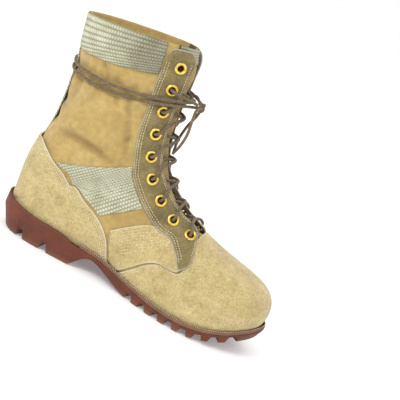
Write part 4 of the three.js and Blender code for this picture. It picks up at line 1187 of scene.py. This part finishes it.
# Eyestays and eyelets
TAB_FRONT = [(0.676, 0.31), (0.692, 0.262), (0.692, 0.232)]
TAB_REAR = [(0.592, 0.287), (0.64, 0.245), (0.655, 0.222), (0.672, 0.206)]
EYESTAY_FOOT = 7.3
EYESTAY_STEPS = [21.8, 20.5, 19, 17.5, 16, 14.5, 13, 12, 11, 10, 9.2, 8.4]
EYELET_LOW = 7.25
EYELET_HIGH = 20.55


def eyestay_low(t, a):
    return GAP + (SUEDE + GAP) * (1 - ease(t, 8.7, 11.7))


def eyestay_edges(side):
    """Front and rear edge from the top down, each ending along the tab on the vamp."""
    front = [(t, float(share_at(t, side, throat_half(t)))) for t in EYESTAY_STEPS + [EYESTAY_FOOT]]
    rear = [(t, float(share_at(t, side, throat_half(t) + EYESTAY_WIDTH))) for t in EYESTAY_STEPS]
    return front + drawn(side, TAB_FRONT), rear + drawn(side, TAB_REAR)


def eyelet_places(side):
    """Places of the eyelets, evenly along a line beside the throat."""
    line = np.linspace(EYELET_LOW, EYELET_HIGH, 400)
    reach = reach_along(surface(line, share_at(line, side, throat_half(line) + EYELET_FROM_EDGE)))
    rows = np.interp(np.linspace(0, reach[-1], EYELETS), reach, line)
    return [(float(t), float(share_at(t, side, throat_half(t) + EYELET_FROM_EDGE))) for t in rows]


def face_rise(t, a):
    """How far the eyestay's face rises within the flange's reach."""
    t, a = np.float64(t), np.float64(a)
    centre = surface(t, a).reshape(3)
    out = outward(t, a).reshape(3)
    rise = 0.0
    for step in (-0.5, 0.5):
        away = surface(t + step, a).reshape(3) - centre
        share = EYELET_FLANGE / np.linalg.norm(away)
        ramp = (eyestay_low(t + step, a) - eyestay_low(t, a)) * share
        rise = max(rise, float(away @ out * share ** 2 + ramp))
    return rise


def eyelet_seat(t, a):
    return float(eyestay_low(t, a)) + SUEDE + EYELET_CLEARANCE + face_rise(t, a)


TOP_ROUND = 9 * MM
TOP_SPAN = 30 * MM


def round_top(t, a):
    """Rows of the lattice, with the corners of its top drawn down to a round end."""
    points = surface(t, a)
    down = steps_along(points, 0)
    across = steps_along(points, 1)
    side_away = np.minimum(across, across[:, -1:] - across)
    lack = np.clip(1 - side_away / TOP_ROUND, 0, 1)
    drop = TOP_ROUND * (1 - np.sqrt(np.clip(1 - lack ** 2, 0, 1)))
    fade = np.clip(1 - down / TOP_SPAN, 0, 1)
    return t - fade * drop / T_LENGTH


def cut_holes(piece, places):
    """Round holes through a facing at the eyelets."""
    cutters = []
    for place in places:
        bpy.ops.mesh.primitive_cylinder_add(vertices=24, radius=EYELET_BARREL + 0.1 * MM, depth=9 * MM)
        cutter = bpy.context.object
        cutter.matrix_world = matrix_at(place, eyestay_low(*place) + SUEDE / 2)
        cutters.append(cutter)
    bpy.ops.object.select_all(action="DESELECT")
    for cutter in cutters:
        cutter.select_set(True)
    bpy.context.view_layer.objects.active = cutters[0]
    bpy.ops.object.join()
    tool = bpy.context.object
    cut = piece.modifiers.new("holes", "BOOLEAN")
    cut.operation = "DIFFERENCE"
    cut.object = tool
    cut.solver = "EXACT"
    bpy.context.view_layer.objects.active = piece
    bpy.ops.object.select_all(action="DESELECT")
    piece.select_set(True)
    bpy.ops.object.modifier_apply(modifier="holes")
    bpy.data.objects.remove(tool)


def eyestay_relief(t, a, points):
    return rumple(points, 18 * MM, 0.2 * MM)


def make_eyestay(side, name):
    """Suede facing with a round hole at each eyelet, rounded at its top."""
    front, rear = eyestay_edges(side)
    u = spaced(150, True, True)
    v = spaced(30, True, True)
    t, a = ruled(edge_through(front, u), edge_through(rear, u), v)
    grid = (round_top(t, a), a, (True, True, True, True))
    piece = layer(f"eyestay_{name}_suede", [grid], eyestay_low, SUEDE, EYESTAY_PAINT,
                  shift=eyestay_relief, values={"grime_and_shade": eyestay_grime})
    cut_holes(piece, eyelet_places(side))
    return finish_piece(piece, [f"eyestay_{name}"])


def eyestay_grime(t, a, points):
    return 0.12 + 0.2 * np.sin(t * 1.9) ** 2


def frame_at(t, a, height):
    """Point at a height over the last, and the turn there from upright to outwards."""
    t, a = np.float64(t), np.float64(a)
    out = outward(t, a).reshape(3)
    turn = Vector((0, 0, 1)).rotation_difference(Vector(out))
    return surface(t, a).reshape(3) + out * height, turn.to_matrix()


def matrix_at(place, height):
    point, turn = frame_at(*place, float(height))
    return Matrix.Translation(Vector(shift_to_frame(point))) @ turn.to_4x4()


def stood_at(local, t, a, height):
    """Points drawn upright, moved to a place at a height over the last and turned with it."""
    point, turn = frame_at(t, a, height)
    return point + np.asarray(local) @ np.array(turn).T


RING_STEPS = 40
LIP_STEPS = 12
# Angle by which the lip curls under at its outer edge
LIP_TUCK = 0.3


def make_eyelet(place, name, node):
    """Rolled brass ring: a lathe of its rounded section."""
    reach = SUEDE + EYELET_CLEARANCE
    middle = (EYELET_HOLE + EYELET_FLANGE) / 2
    half = (EYELET_FLANGE - EYELET_HOLE) / 2
    lip = np.linspace(-LIP_TUCK, math.pi, LIP_STEPS + 1)
    section = [(EYELET_HOLE, -reach), (EYELET_BARREL, -reach), (EYELET_BARREL, -0.3 * MM)]
    section += [(middle + half * math.cos(angle), EYELET_LIP * math.sin(angle)) for angle in lip]
    section.append((EYELET_HOLE, -1.2 * MM))
    radius, height = np.array(section).T
    angle = 2 * math.pi * np.arange(RING_STEPS)[:, None] / RING_STEPS
    local = np.stack([radius * np.cos(angle), radius * np.sin(angle), height + 0 * angle], -1)
    size = len(section)
    faces = []
    for k in range(RING_STEPS):
        low, high = k * size, (k + 1) % RING_STEPS * size
        for c in range(size):
            after = (c + 1) % size
            faces.append((low + c, high + c, high + after, low + after))
    points = stood_at(local.reshape(-1, 3), *place, eyelet_seat(*place))
    return finish_piece(make_object(name, points, faces, BRASS_PAINT), [node])


# Woven bands
BAND_INSET = 1.2 * MM
BAND_EASE = 0.15 * MM
WEAVE_ACROSS = 3.1 * MM
WEAVE_ALONG = 2.2 * MM
WEAVE_RELIEF = 0.55 * MM
# Row of the collar band's lower edge in front, and its height at the back
COLLAR_FRONT = 19.85
COLLAR_FOOT = 0.812 * SHAFT_HEIGHT


def weave_at(t, a):
    arc = arc_at(t, a)
    up = t * T_LENGTH
    row = np.floor(up / WEAVE_ALONG)
    ridge = np.abs(np.sin(math.pi * up / WEAVE_ALONG)) ** 0.6
    dash = np.abs(np.cos(math.pi * (arc / WEAVE_ACROSS + 0.5 * (row % 2)))) ** 0.7
    return ridge * (0.25 + 0.75 * dash)


def band_values(grime_and_shade):
    return {"weave": lambda t, a, points: weave_at(t, a), "grime_and_shade": grime_and_shade}


def band_thickness(t, a, points):
    return WEBBING - BAND_EASE + WEAVE_RELIEF * (weave_at(t, a) - 0.35)


def behind_eyestay(t, side):
    return share_at(t, side, throat_half(t) + EYESTAY_WIDTH + BAND_INSET)


def make_collar_band():
    grids = []
    u = np.linspace(0, 1, 150)
    drop = (seam_place(COLLAR_FOOT) - COLLAR_FRONT) * u ** 1.5
    for side in (-1, 1):
        low_a = float(behind_eyestay(COLLAR_FRONT, side))
        top_a = float(behind_eyestay(LAST, side))
        lower = (COLLAR_FRONT + drop, low_a + (side - low_a) * u)
        upper = (np.full(len(u), float(LAST)), top_a + (side - top_a) * u)
        t, a = ruled(upper, lower, spaced(64, True, True))
        a[-1, :] = side
        grids.append((t, a, (True, False, True, True)))
    piece = layer("collar_webbing", grids, GAP + BAND_EASE, band_thickness, WEBBING_PAINT,
                  values=band_values(collar_grime))
    return finish_piece(piece, ["collar_band"])


def collar_grime(t, a, points):
    return 0.55 * (1 - ease(np.abs(a), 0.35, 0.75)) + 0.08


STRAP_BACK = [(0.138, 0.354), (0.212, 0.313), (0.298, 0.27), (0.344, 0.245)]
STRAP_FRONT_TOP = 13.1
STRAP_FRONT_LOW = 9.8


def make_ankle_strap(side, name):
    u = spaced(84, True, True)
    front_t = STRAP_FRONT_TOP + (STRAP_FRONT_LOW - STRAP_FRONT_TOP) * u
    front = (front_t, behind_eyestay(front_t, side))
    back = edge_through(drawn(side, STRAP_BACK), u)
    t, a = ruled(front, back, spaced(120, True, True))
    piece = layer(f"ankle_webbing_{name}", [(t, a, (True, True, True, True))], GAP, band_thickness,
                  WEBBING_PAINT, values=band_values(0.12))
    return finish_piece(piece, [f"ankle_strap_{name}"])


BACK_STRIP_HALF = 10 * MM


def make_back_strip():
    start = seam_place(COUNTER_TOP * SHAFT_HEIGHT) + 0.04
    end = seam_place(COLLAR_FOOT) - 0.2
    grids = []
    for side in (-1, 1):
        rows = np.linspace(start, end, 130)
        width = share_at(rows, 1, BACK_STRIP_HALF)
        v = spaced(16, True, False)
        a = side * (1 - width[:, None] * (1 - v))
        a[:, -1] = side
        t = np.repeat(rows[:, None], len(v), 1)
        grids.append((t, a, (True, True, True, False)))
    piece = layer("back_webbing", grids, GAP, band_thickness, WEBBING_PAINT,
                  values=band_values(0.2))
    return finish_piece(piece, ["back_strip"])


# Tongue

def tongue_relief(t, a, points):
    shift = 1.1 * MM * np.sin(points[..., 2] / (7 * MM) + 3 * np.sin(points[..., 1] / (16 * MM)))
    shift += 0.8 * MM * np.sin(points[..., 1] / (5 * MM) + points[..., 2] / (30 * MM))
    return shift * ease(t, 7.5, 9) * 0.8


def tongue_shade_under_eyestays(t, a, points):
    """Slightly darker all over, with painted shade where the eyestays cover it."""
    covered = np.abs(a) * half_length(t, 1) - throat_half(t)
    return 0.15 + 2.2 * ease(covered, 0, 5 * MM)


def tongue_low(t, a):
    return -(WALL + GAP + (TONGUE_DEPTH - WALL - GAP) * ease(t, 6.6, 7.6)) - TONGUE_THICKNESS


def tongue_grid(rows, v):
    """Lattice across the tongue, v running from edge to edge as -1 to 1."""
    length = np.where(v < 0, half_length(rows, -1)[:, None], half_length(rows, 1)[:, None])
    return np.repeat(rows[:, None], len(v), 1), TONGUE_HALF * v / length, (True, True, True, True)


def tongue_band_low(t, a):
    return tongue_low(t, a) + TONGUE_THICKNESS + 0.2 * MM


def tongue_band_thickness(t, a, points):
    return 0.6 * WEBBING + WEAVE_RELIEF * weave_at(t, a)


def make_tongue():
    """Canvas tongue and the woven binding on its top."""
    cloth = tongue_grid(np.linspace(6.35, LAST, 150), np.linspace(-1, 1, 60))
    # The tongue is darkened under the eyestays as painted shade
    piece = layer("tongue_canvas", [cloth], tongue_low, TONGUE_THICKNESS, CANVAS_PAINT,
                  shift=tongue_relief, values={"grime_and_shade": tongue_shade_under_eyestays})
    finish_piece(piece, ["tongue"])
    top = tongue_grid(np.linspace(20.9, LAST, 26), np.linspace(-0.97, 0.97, 90))
    band = layer("tongue_webbing", [top], tongue_band_low, tongue_band_thickness, WEBBING_PAINT,
                 shift=tongue_relief, values=band_values(0.3))
    finish_piece(band, [])


# Laces
BRAID_PITCH = 2.6 * MM
BRAID_TURNS = 3.5
LACE_SIDES = 14
CURVE_STEPS = 24


def between(start, end, low, high, at):
    """Point at a value, on the line through a start at a low value and an end at a high one."""
    return start + (end - start) * (at - low) / (high - low)


def smooth_path(points, step):
    """Centripetal curve through the points, cut into even steps."""
    corners = np.asarray(points, float)
    corners = np.concatenate([[2 * corners[0] - corners[1]], corners, [2 * corners[-1] - corners[-2]]])
    spans = np.maximum(np.linalg.norm(np.diff(corners, axis=0), axis=-1) ** 0.5, 1e-5)
    path = []
    for k in range(len(corners) - 3):
        p0, p1, p2, p3 = corners[k:k + 4]
        t0, t1, t2, t3 = np.concatenate([[0], np.cumsum(spans[k:k + 3])])
        t = np.linspace(t1, t2, CURVE_STEPS, endpoint=False)[:, None]
        a1 = between(p0, p1, t0, t1, t)
        a2 = between(p1, p2, t1, t2, t)
        a3 = between(p2, p3, t2, t3, t)
        path.append(between(between(a1, a2, t0, t2, t), between(a2, a3, t1, t3, t), t1, t2, t))
    path = np.concatenate(path + [corners[-2:-1]])
    reach = reach_along(path)
    return point_on(path, reach, np.linspace(0, reach[-1], max(int(round(reach[-1] / step)), 3) + 1))


def lace_tube(path, radius=LACE_RADIUS):
    """Braided tube along a path: points, faces and the braid's height."""
    tangent = np.gradient(path, axis=0)
    tangent /= np.linalg.norm(tangent, axis=1, keepdims=True)
    first = np.cross(tangent[0], [0.3, 0.5, 0.8])
    normals = [first / np.linalg.norm(first)]
    for along in tangent[1:]:
        normal = normals[-1] - along * (normals[-1] @ along)
        normals.append(normal / np.linalg.norm(normal))
    normal = np.array(normals)
    other = np.cross(tangent, normal)
    angle = 2 * math.pi * np.arange(LACE_SIDES) / LACE_SIDES
    phase = 2 * math.pi * reach_along(path)[:, None] / BRAID_PITCH
    braid = 0.5 + 0.5 * np.cos(BRAID_TURNS * angle + phase) * np.cos(BRAID_TURNS * angle - phase)
    ring = np.cos(angle)[:, None] * normal[:, None] + np.sin(angle)[:, None] * other[:, None]
    points = path[:, None] + (radius * (0.93 + 0.1 * braid))[..., None] * ring
    return points.reshape(-1, 3), tube_faces(len(path), LACE_SIDES), braid.ravel()


def lace_piece(name, path, nodes):
    points, faces, braid = lace_tube(path)
    piece = make_object(name, points, faces, LACE_PAINT, values={"weave": braid})
    return finish_piece(piece, nodes)


def lace_point(t, arc, height):
    """Point at a distance round the last from its front line, and at a height over it."""
    return frame_at(t, share_at(t, -1 if arc < 0 else 1, abs(arc)), height)[0]


STRAND_STEP = 0.75 * MM


def eyelet_dip(place, depth):
    return lace_point(place[0], arc_at(*place), depth)


def strand_points(start, end, over):
    """From under an eyelet, out through it, over its eyestay's edge, across and under the other one."""
    rise = end[0] - start[0]
    side = -1 if start[1] < 0 else 1
    top = eyelet_seat(*start) + EYELET_LIP + LACE_RADIUS
    arc = arc_at(*start)
    edge_t = start[0] + 0.3 * rise
    edge_arc = side * float(throat_half(edge_t))
    far_t = start[0] + 0.78 * rise
    far_arc = -side * float(throat_half(far_t))
    flat_low = float(eyestay_low(edge_t, 0))
    return [
        eyelet_dip(start, -2.4 * MM),
        lace_point(start[0], arc, 0.6 * top),
        lace_point(start[0] + 0.06 * rise, arc - side * 3.4 * MM, top + 0.3 * MM),
        lace_point(edge_t, edge_arc + side * 3 * MM, flat_low + SUEDE + LACE_RADIUS + 0.9 * MM),
        lace_point(start[0] + 0.5 * rise, 0.0, (1.2 + (1.7 if over else -1.7)) * MM),
        lace_point(far_t, far_arc, -1.9 * MM),
        lace_point(end[0] - 0.06 * rise, arc_at(*end) + side * 3 * MM, -2.6 * MM),
    ]


KNOT_T = 17.45
KNOT_HEIGHT = 15.4 * MM
KNOT_SIZE = (5.5 * MM, 4.5 * MM)
KNOT_STEPS = 120
# Height of a lace that lies under the eyestays
UNDER = -2.6 * MM


def make_lacing():
    """Two laces from the bar at the foot up to the knot, crossing between the pairs of eyelets."""
    inner, outer = eyelet_places(-1), eyelet_places(1)
    used = EYELETS - 1
    for name, side, first, second in (("lace_run_one", -1, inner, outer), ("lace_run_two", 1, outer, inner)):
        points = []
        if side < 0:
            points.append(lace_point(outer[0][0], 7 * MM, UNDER))
        middle = lace_point(inner[0][0] - 0.05, 0.01 * MM, UNDER)
        points.append(middle + np.array([0, side * 0.5 * MM, 0]))
        points.append(lace_point(first[0][0], side * 7 * MM, UNDER))
        for n in range(used - 1):
            start, end = (first[n], second[n + 1]) if n % 2 == 0 else (second[n], first[n + 1])
            points += strand_points(start, end, over=(n % 2 == 0) == (side < 0))
        last = (first if (used - 1) % 2 == 0 else second)[used - 1]
        last_side = -1 if last[1] < 0 else 1
        top = eyelet_seat(*last) + EYELET_LIP + LACE_RADIUS
        points += [
            eyelet_dip(last, -2.4 * MM),
            lace_point(last[0], arc_at(*last), 0.6 * top),
            lace_point(last[0] - 0.2, arc_at(*last) - last_side * 4.5 * MM, top + 1.5 * MM),
            lace_point(KNOT_T + 0.55, last_side * 13 * MM, 9 * MM),
            lace_point(KNOT_T + 0.25, last_side * 5 * MM, KNOT_HEIGHT - 2.6 * MM),
        ]
        nodes = ["lace_bar"] + [f"lace_crossing_{n}" for n in range(1, EYELETS)] if side < 0 else []
        lace_piece(name, smooth_path(points, STRAND_STEP), nodes)


WRAP_START = 5 * MM
WRAP_LIFT = 5.208 * MM
WRAP_SINK = 1.2 * MM
WRAP_STEPS = 72


def make_wrap():
    """Turns of the lace round the shaft, over the eyestays and the back strip."""
    total = WRAP_STEPS * WRAP_TURNS
    points = []
    for k in range(total + 1):
        turn = k / WRAP_STEPS
        angle = 2 * (1 if turn % 1 == 0 and k > 0 else turn % 1)
        around = -angle if angle <= 1 else 2 - angle
        t = float(wrap_t(around, turn))
        arc = around * float(half_length(t, -1 if around < 0 else 1))
        if k in (0, total):
            arc = WRAP_START * (-1 if k == 0 else 1)
        if abs(arc) < WRAP_START - 1e-9:
            continue
        on_eyestay = 1 - float(ease(abs(arc), EYESTAY_WIDTH * 0.9, EYESTAY_WIDTH * 2))
        on_strip = (WEBBING + 2 * GAP) * float(ease(abs(around), 0.74, 0.84))
        lift = WRAP_LIFT * on_eyestay - WRAP_SINK * (1 - on_eyestay)
        points.append(lace_point(t, arc, LACE_RADIUS + 2 * GAP + on_strip + lift))
    first, last = (lace_point(KNOT_T, arc, KNOT_HEIGHT - MM) for arc in (-2 * MM, 2 * MM))
    lace_piece("lace_wound", smooth_path([first] + points[::2] + [last], STRAND_STEP), ["lace_wrap"])


def make_knot():
    angle = np.linspace(0, 2 * math.pi, KNOT_STEPS)
    x = (np.sin(angle) + 2 * np.sin(2 * angle)) / 3 * (KNOT_SIZE[0] - 1.2 * MM)
    y = (np.cos(angle) - 2 * np.cos(2 * angle)) / 3 * (KNOT_SIZE[1] - 1.0 * MM)
    local = np.stack([x, y, -1.7 * MM * np.sin(3 * angle)], -1)
    return lace_piece("lace_knot_tied", stood_at(local, KNOT_T, 0, KNOT_HEIGHT), ["lace_knot"])


# Row, arc and height of the free ends' bends, the last two in millimetres
END_ONE = [(17.3, -7.6, 16.6), (16.6, -9.5, 18.8), (15.4, -10, 20), (14.3, -11, 16), (13.6, -14, 12.4)]
END_TWO = [(17.35, 8, 16.3), (16.6, 14, 17.5), (15.6, 21, 17), (14.5, 25, 14.5), (13.4, 26, 12.4)]
TIP_LENGTH = 9 * MM


def make_end(name, side, places, node):
    """A free end with its moulded tip."""
    start = stood_at((0, side * (KNOT_SIZE[1] + GAP), 0), KNOT_T, 0, KNOT_HEIGHT)
    points = [start] + [lace_point(t, arc * MM, height * MM) for t, arc, height in places]
    path = smooth_path(points, STRAND_STEP)
    reach = reach_along(path)
    cut = int(np.searchsorted(reach, reach[-1] - TIP_LENGTH))
    cord_path = path[:cut + 1]
    piece = lace_piece(name, cord_path, [node])
    points, faces, _ = lace_tube(path[cut:], LACE_RADIUS * 0.92)
    tip = finish_piece(make_object(f"{name}_tip", points, faces, TIP_PAINT), [])
    tuple(shift_to_frame(start))
    [tuple(q) for q in shift_to_frame(cord_path)]


def tip_material():
    paint = Paint("lace_tip", 0.35)
    paint.colour(paint.ramp(paint.noise(200), (0.3, srgb(70, 52, 36)), (0.7, srgb(96, 74, 52))))
    return paint.material


TIP_PAINT = tip_material()


# Stitches: short threads standing on the surface
THREAD_SIDES = 5
# Share of the stitch's length, width and lift of its rings
THREAD_RINGS = [(0.0, 0.35, -0.5), (0.2, 0.9, 0.1), (0.5, 1.0, 0.3), (0.8, 0.9, 0.1), (1.0, 0.35, -0.5)]
STITCH_PITCH = 3.1 * MM
EYESTAY_PITCH = 2.8 * MM
STITCH_SHARE = 0.72
STITCH_RADIUS = 0.38 * MM
WELT_THREAD_RADIUS = 0.42 * MM
STITCH_LIFT = 0.12 * MM


def thread(points, faces, start, end, out, radius):
    """One stitch: a short tube, thinner and lower at both ends."""
    axis = end - start
    side = np.cross(axis, out)
    side /= np.linalg.norm(side)
    up = np.cross(side, axis / np.linalg.norm(axis))
    faces += tube_faces(len(THREAD_RINGS), THREAD_SIDES, len(points))
    for share, wide, lift in THREAD_RINGS:
        middle = start + axis * share + up * radius * lift
        for k in range(THREAD_SIDES):
            angle = 2 * math.pi * k / THREAD_SIDES
            points.append(middle + radius * wide * (math.cos(angle) * side + math.sin(angle) * up))


def stitch_row(points, faces, places, height, pitch):
    """Stitches along places (t and a arrays), standing at a height above the last."""
    t, a = places
    out = outward(t, a)
    line = surface(t, a) + out * height(t, a)[:, None]
    reach = reach_along(line)
    for at in np.arange(0.5 * pitch, reach[-1] - pitch, pitch):
        start, end = (point_on(line, reach, place) for place in (at, at + STITCH_SHARE * pitch))
        thread(points, faces, start, end, point_on(out, reach, at), STITCH_RADIUS)


def face_height(low, relief):
    """Height of the stitches on a piece, from its back and its relief."""
    def height(t, a):
        return taken(low, t, a) + SUEDE + STITCH_LIFT + relief(t, a, surface(t, a))

    return height


def inset_row(first, second, distance):
    """A row beside an edge: moved from the edge towards another line by a distance."""
    p, q = surface(*first), surface(*second)
    gap = np.maximum(np.linalg.norm(q - p, axis=-1), 1e-6)
    s = distance / gap
    return first[0] + (second[0] - first[0]) * s, first[1] + (second[1] - first[1]) * s


def counter_rows(side):
    """Four rows behind the counter's front edge."""
    front, foot_t, top_t = counter_edge(side)
    t = np.linspace(foot_t, top_t - 0.05, 200)
    share = np.minimum(front(t), 1)
    for distance in (2.6, 4.9, 7.6, 9.9):
        a = side * np.minimum(share + distance * MM / half_length(t, side), 0.995)
        yield (t, a), face_height(counter_low, suede_relief), STITCH_PITCH


def vamp_rows(side):
    """Two rows inside the vamp's rear edge."""
    share = np.linspace(0.42, 0.97, 160)
    for distance in (2.0, 4.4):
        t = vamp_edge(side)(share) - distance / 13.5
        yield (t, side * share), face_height(GAP, suede_relief), STITCH_PITCH


def panel_rows(side):
    """A dense field of rows under the side panel's top edge."""
    low, upper = panel_edges(side, np.linspace(0, 1, 200))
    for k in range(9):
        t, a = inset_row(upper, low, (2.2 + 3.1 * k) * MM)
        yield (t[30:], a[30:]), face_height(GAP, suede_relief), STITCH_PITCH


def eyestay_rows(side):
    """One row inside the eyestay's front edge and two inside its rear edge."""
    u = np.linspace(0, 1, 200)
    front, rear = (edge_through(edge, u) for edge in eyestay_edges(side))
    for edge, other, distance in ((front, rear, 2.6), (rear, front, 2.6), (rear, front, 5.2)):
        t, a = inset_row(edge, other, distance * MM)
        yield (t[8:186], a[8:186]), face_height(eyestay_low, eyestay_relief), EYESTAY_PITCH


def thread_piece(name, points, faces):
    return finish_piece(make_object(name, np.array(points), faces, THREAD_PAINT), [])


def make_stitches(welt_groove):
    for side, name in SIDES:
        points, faces = [], []
        for rows_of in (counter_rows, vamp_rows, panel_rows, eyestay_rows):
            for places, height, pitch in rows_of(side):
                stitch_row(points, faces, places, height, pitch)
        thread_piece(f"stitches_{name}", points, faces)
    points, faces = [], []
    for start, end in welt_groove:
        thread(points, faces, start, end, np.array([0.0, 0.0, 1.0]), WELT_THREAD_RADIUS)
    thread_piece("stitches_welt", points, faces)


def make_label():
    """Blank cloth label sewn inside the collar, on the outer side."""
    paint = Paint("label", 0.85)
    paint.colour(paint.ramp(paint.noise(300), (0.3, srgb(214, 212, 198)), (0.7, srgb(238, 236, 226))))
    paint.bump(paint.weave(0.0007, 0.0007), 0.0001, 0.4)
    rows = np.linspace(20.2, 21.5, 20)
    v = np.linspace(0.52, 0.68, 24)
    t, a = np.meshgrid(rows, v, indexing="ij")
    piece = layer("label_blank", [(t, a, (True, True, True, True))], -WALL - 0.6 * MM, 0.35 * MM,
                  paint.material, shift=canvas_relief)
    return finish_piece(piece, [])


# Stage, light and camera

def make_stage():
    white = (1, 1, 1, 1)
    paint = Paint("studio_floor", 0.9, Base_Color=(0.9, 0.9, 0.9, 1), Emission_Color=white,
                  Emission_Strength=0.18)
    size = 60.0
    z = -0.0004
    corners = [(-size, -size, z), (size, -size, z), (size, size, z), (-size, size, z)]
    mesh = bpy.data.meshes.new("studio_floor")
    mesh.from_pydata(corners, [], [(0, 1, 2, 3)])
    mesh.materials.append(paint.material)
    floor = bpy.data.objects.new("studio_floor", mesh)
    bpy.context.scene.collection.objects.link(floor)
    world = bpy.data.worlds.new("studio")
    world.use_nodes = True
    world.node_tree.nodes["Background"].inputs["Color"].default_value = white
    world.node_tree.nodes["Background"].inputs["Strength"].default_value = 0.9
    bpy.context.scene.world = world
    for name, place, energy, size in (
        ("key", (-0.5, -1.1, 1.2), 12, 0.6),
        ("fill", (1.1, -0.9, 0.7), 3, 1.2),
        ("back", (0.2, 1.2, 1.1), 6, 1.0),
    ):
        light = bpy.data.lights.new(name, "AREA")
        light.energy = energy
        light.size = size
        lamp = bpy.data.objects.new(name, light)
        lamp.location = place
        aim = Vector((0.08, 0, 0.1)) - Vector(place)
        lamp.rotation_euler = aim.to_track_quat("-Z", "Y").to_euler()
        bpy.context.scene.collection.objects.link(lamp)
    bpy.context.scene.view_settings.view_transform = "Standard"


CAMERA_AZIMUTH = 8.0
CAMERA_ELEVATION = 13.9
CAMERA_ROLL = 26.3
CAMERA_DISTANCE = 1.25
CAMERA_FOCUS = 1220.0
CAMERA_TARGET = (0.1379, 0.0, 0.1182)
PHOTO_SIDE = 400


def make_camera():
    azimuth, rise, roll = (math.radians(v) for v in (CAMERA_AZIMUTH, CAMERA_ELEVATION, CAMERA_ROLL))
    level = math.cos(rise)
    back = Vector((math.sin(azimuth) * level, -math.cos(azimuth) * level, math.sin(rise)))
    right = Vector((math.cos(azimuth), math.sin(azimuth), 0))
    up = back.cross(right)
    right_rolled = right * math.cos(roll) + up * math.sin(roll)
    up_rolled = up * math.cos(roll) - right * math.sin(roll)
    data = bpy.data.cameras.new("camera")
    data.sensor_width = 36
    data.lens = 36 * CAMERA_FOCUS / PHOTO_SIDE
    camera = bpy.data.objects.new("camera", data)
    turn = Matrix((right_rolled, up_rolled, back)).transposed()
    camera.matrix_world = Matrix.Translation(Vector(CAMERA_TARGET) + back * CAMERA_DISTANCE) @ turn.to_4x4()
    bpy.context.scene.collection.objects.link(camera)
    bpy.context.scene.camera = camera


make_camera()
make_stage()
knot = make_knot()
make_end("lace_free_end_one", -1, END_ONE, "lace_end_1")
make_end("lace_free_end_two", 1, END_TWO, "lace_end_2")
make_wrap()
make_lacing()
make_outsole()
groove = make_welt()
make_insole()
make_upper()
make_counter()
make_vamp()
for side, name in SIDES:
    make_side_panel(side, name)
    make_eyestay(side, name)
    make_ankle_strap(side, name)
    for n, place in enumerate(eyelet_places(side), 1):
        make_eyelet(place, f"eyelet_ring_{name}_{n}", f"eyelet_{name}_{n}")
make_collar_band()
make_back_strip()
make_tongue()
make_stitches(groove)
make_label()
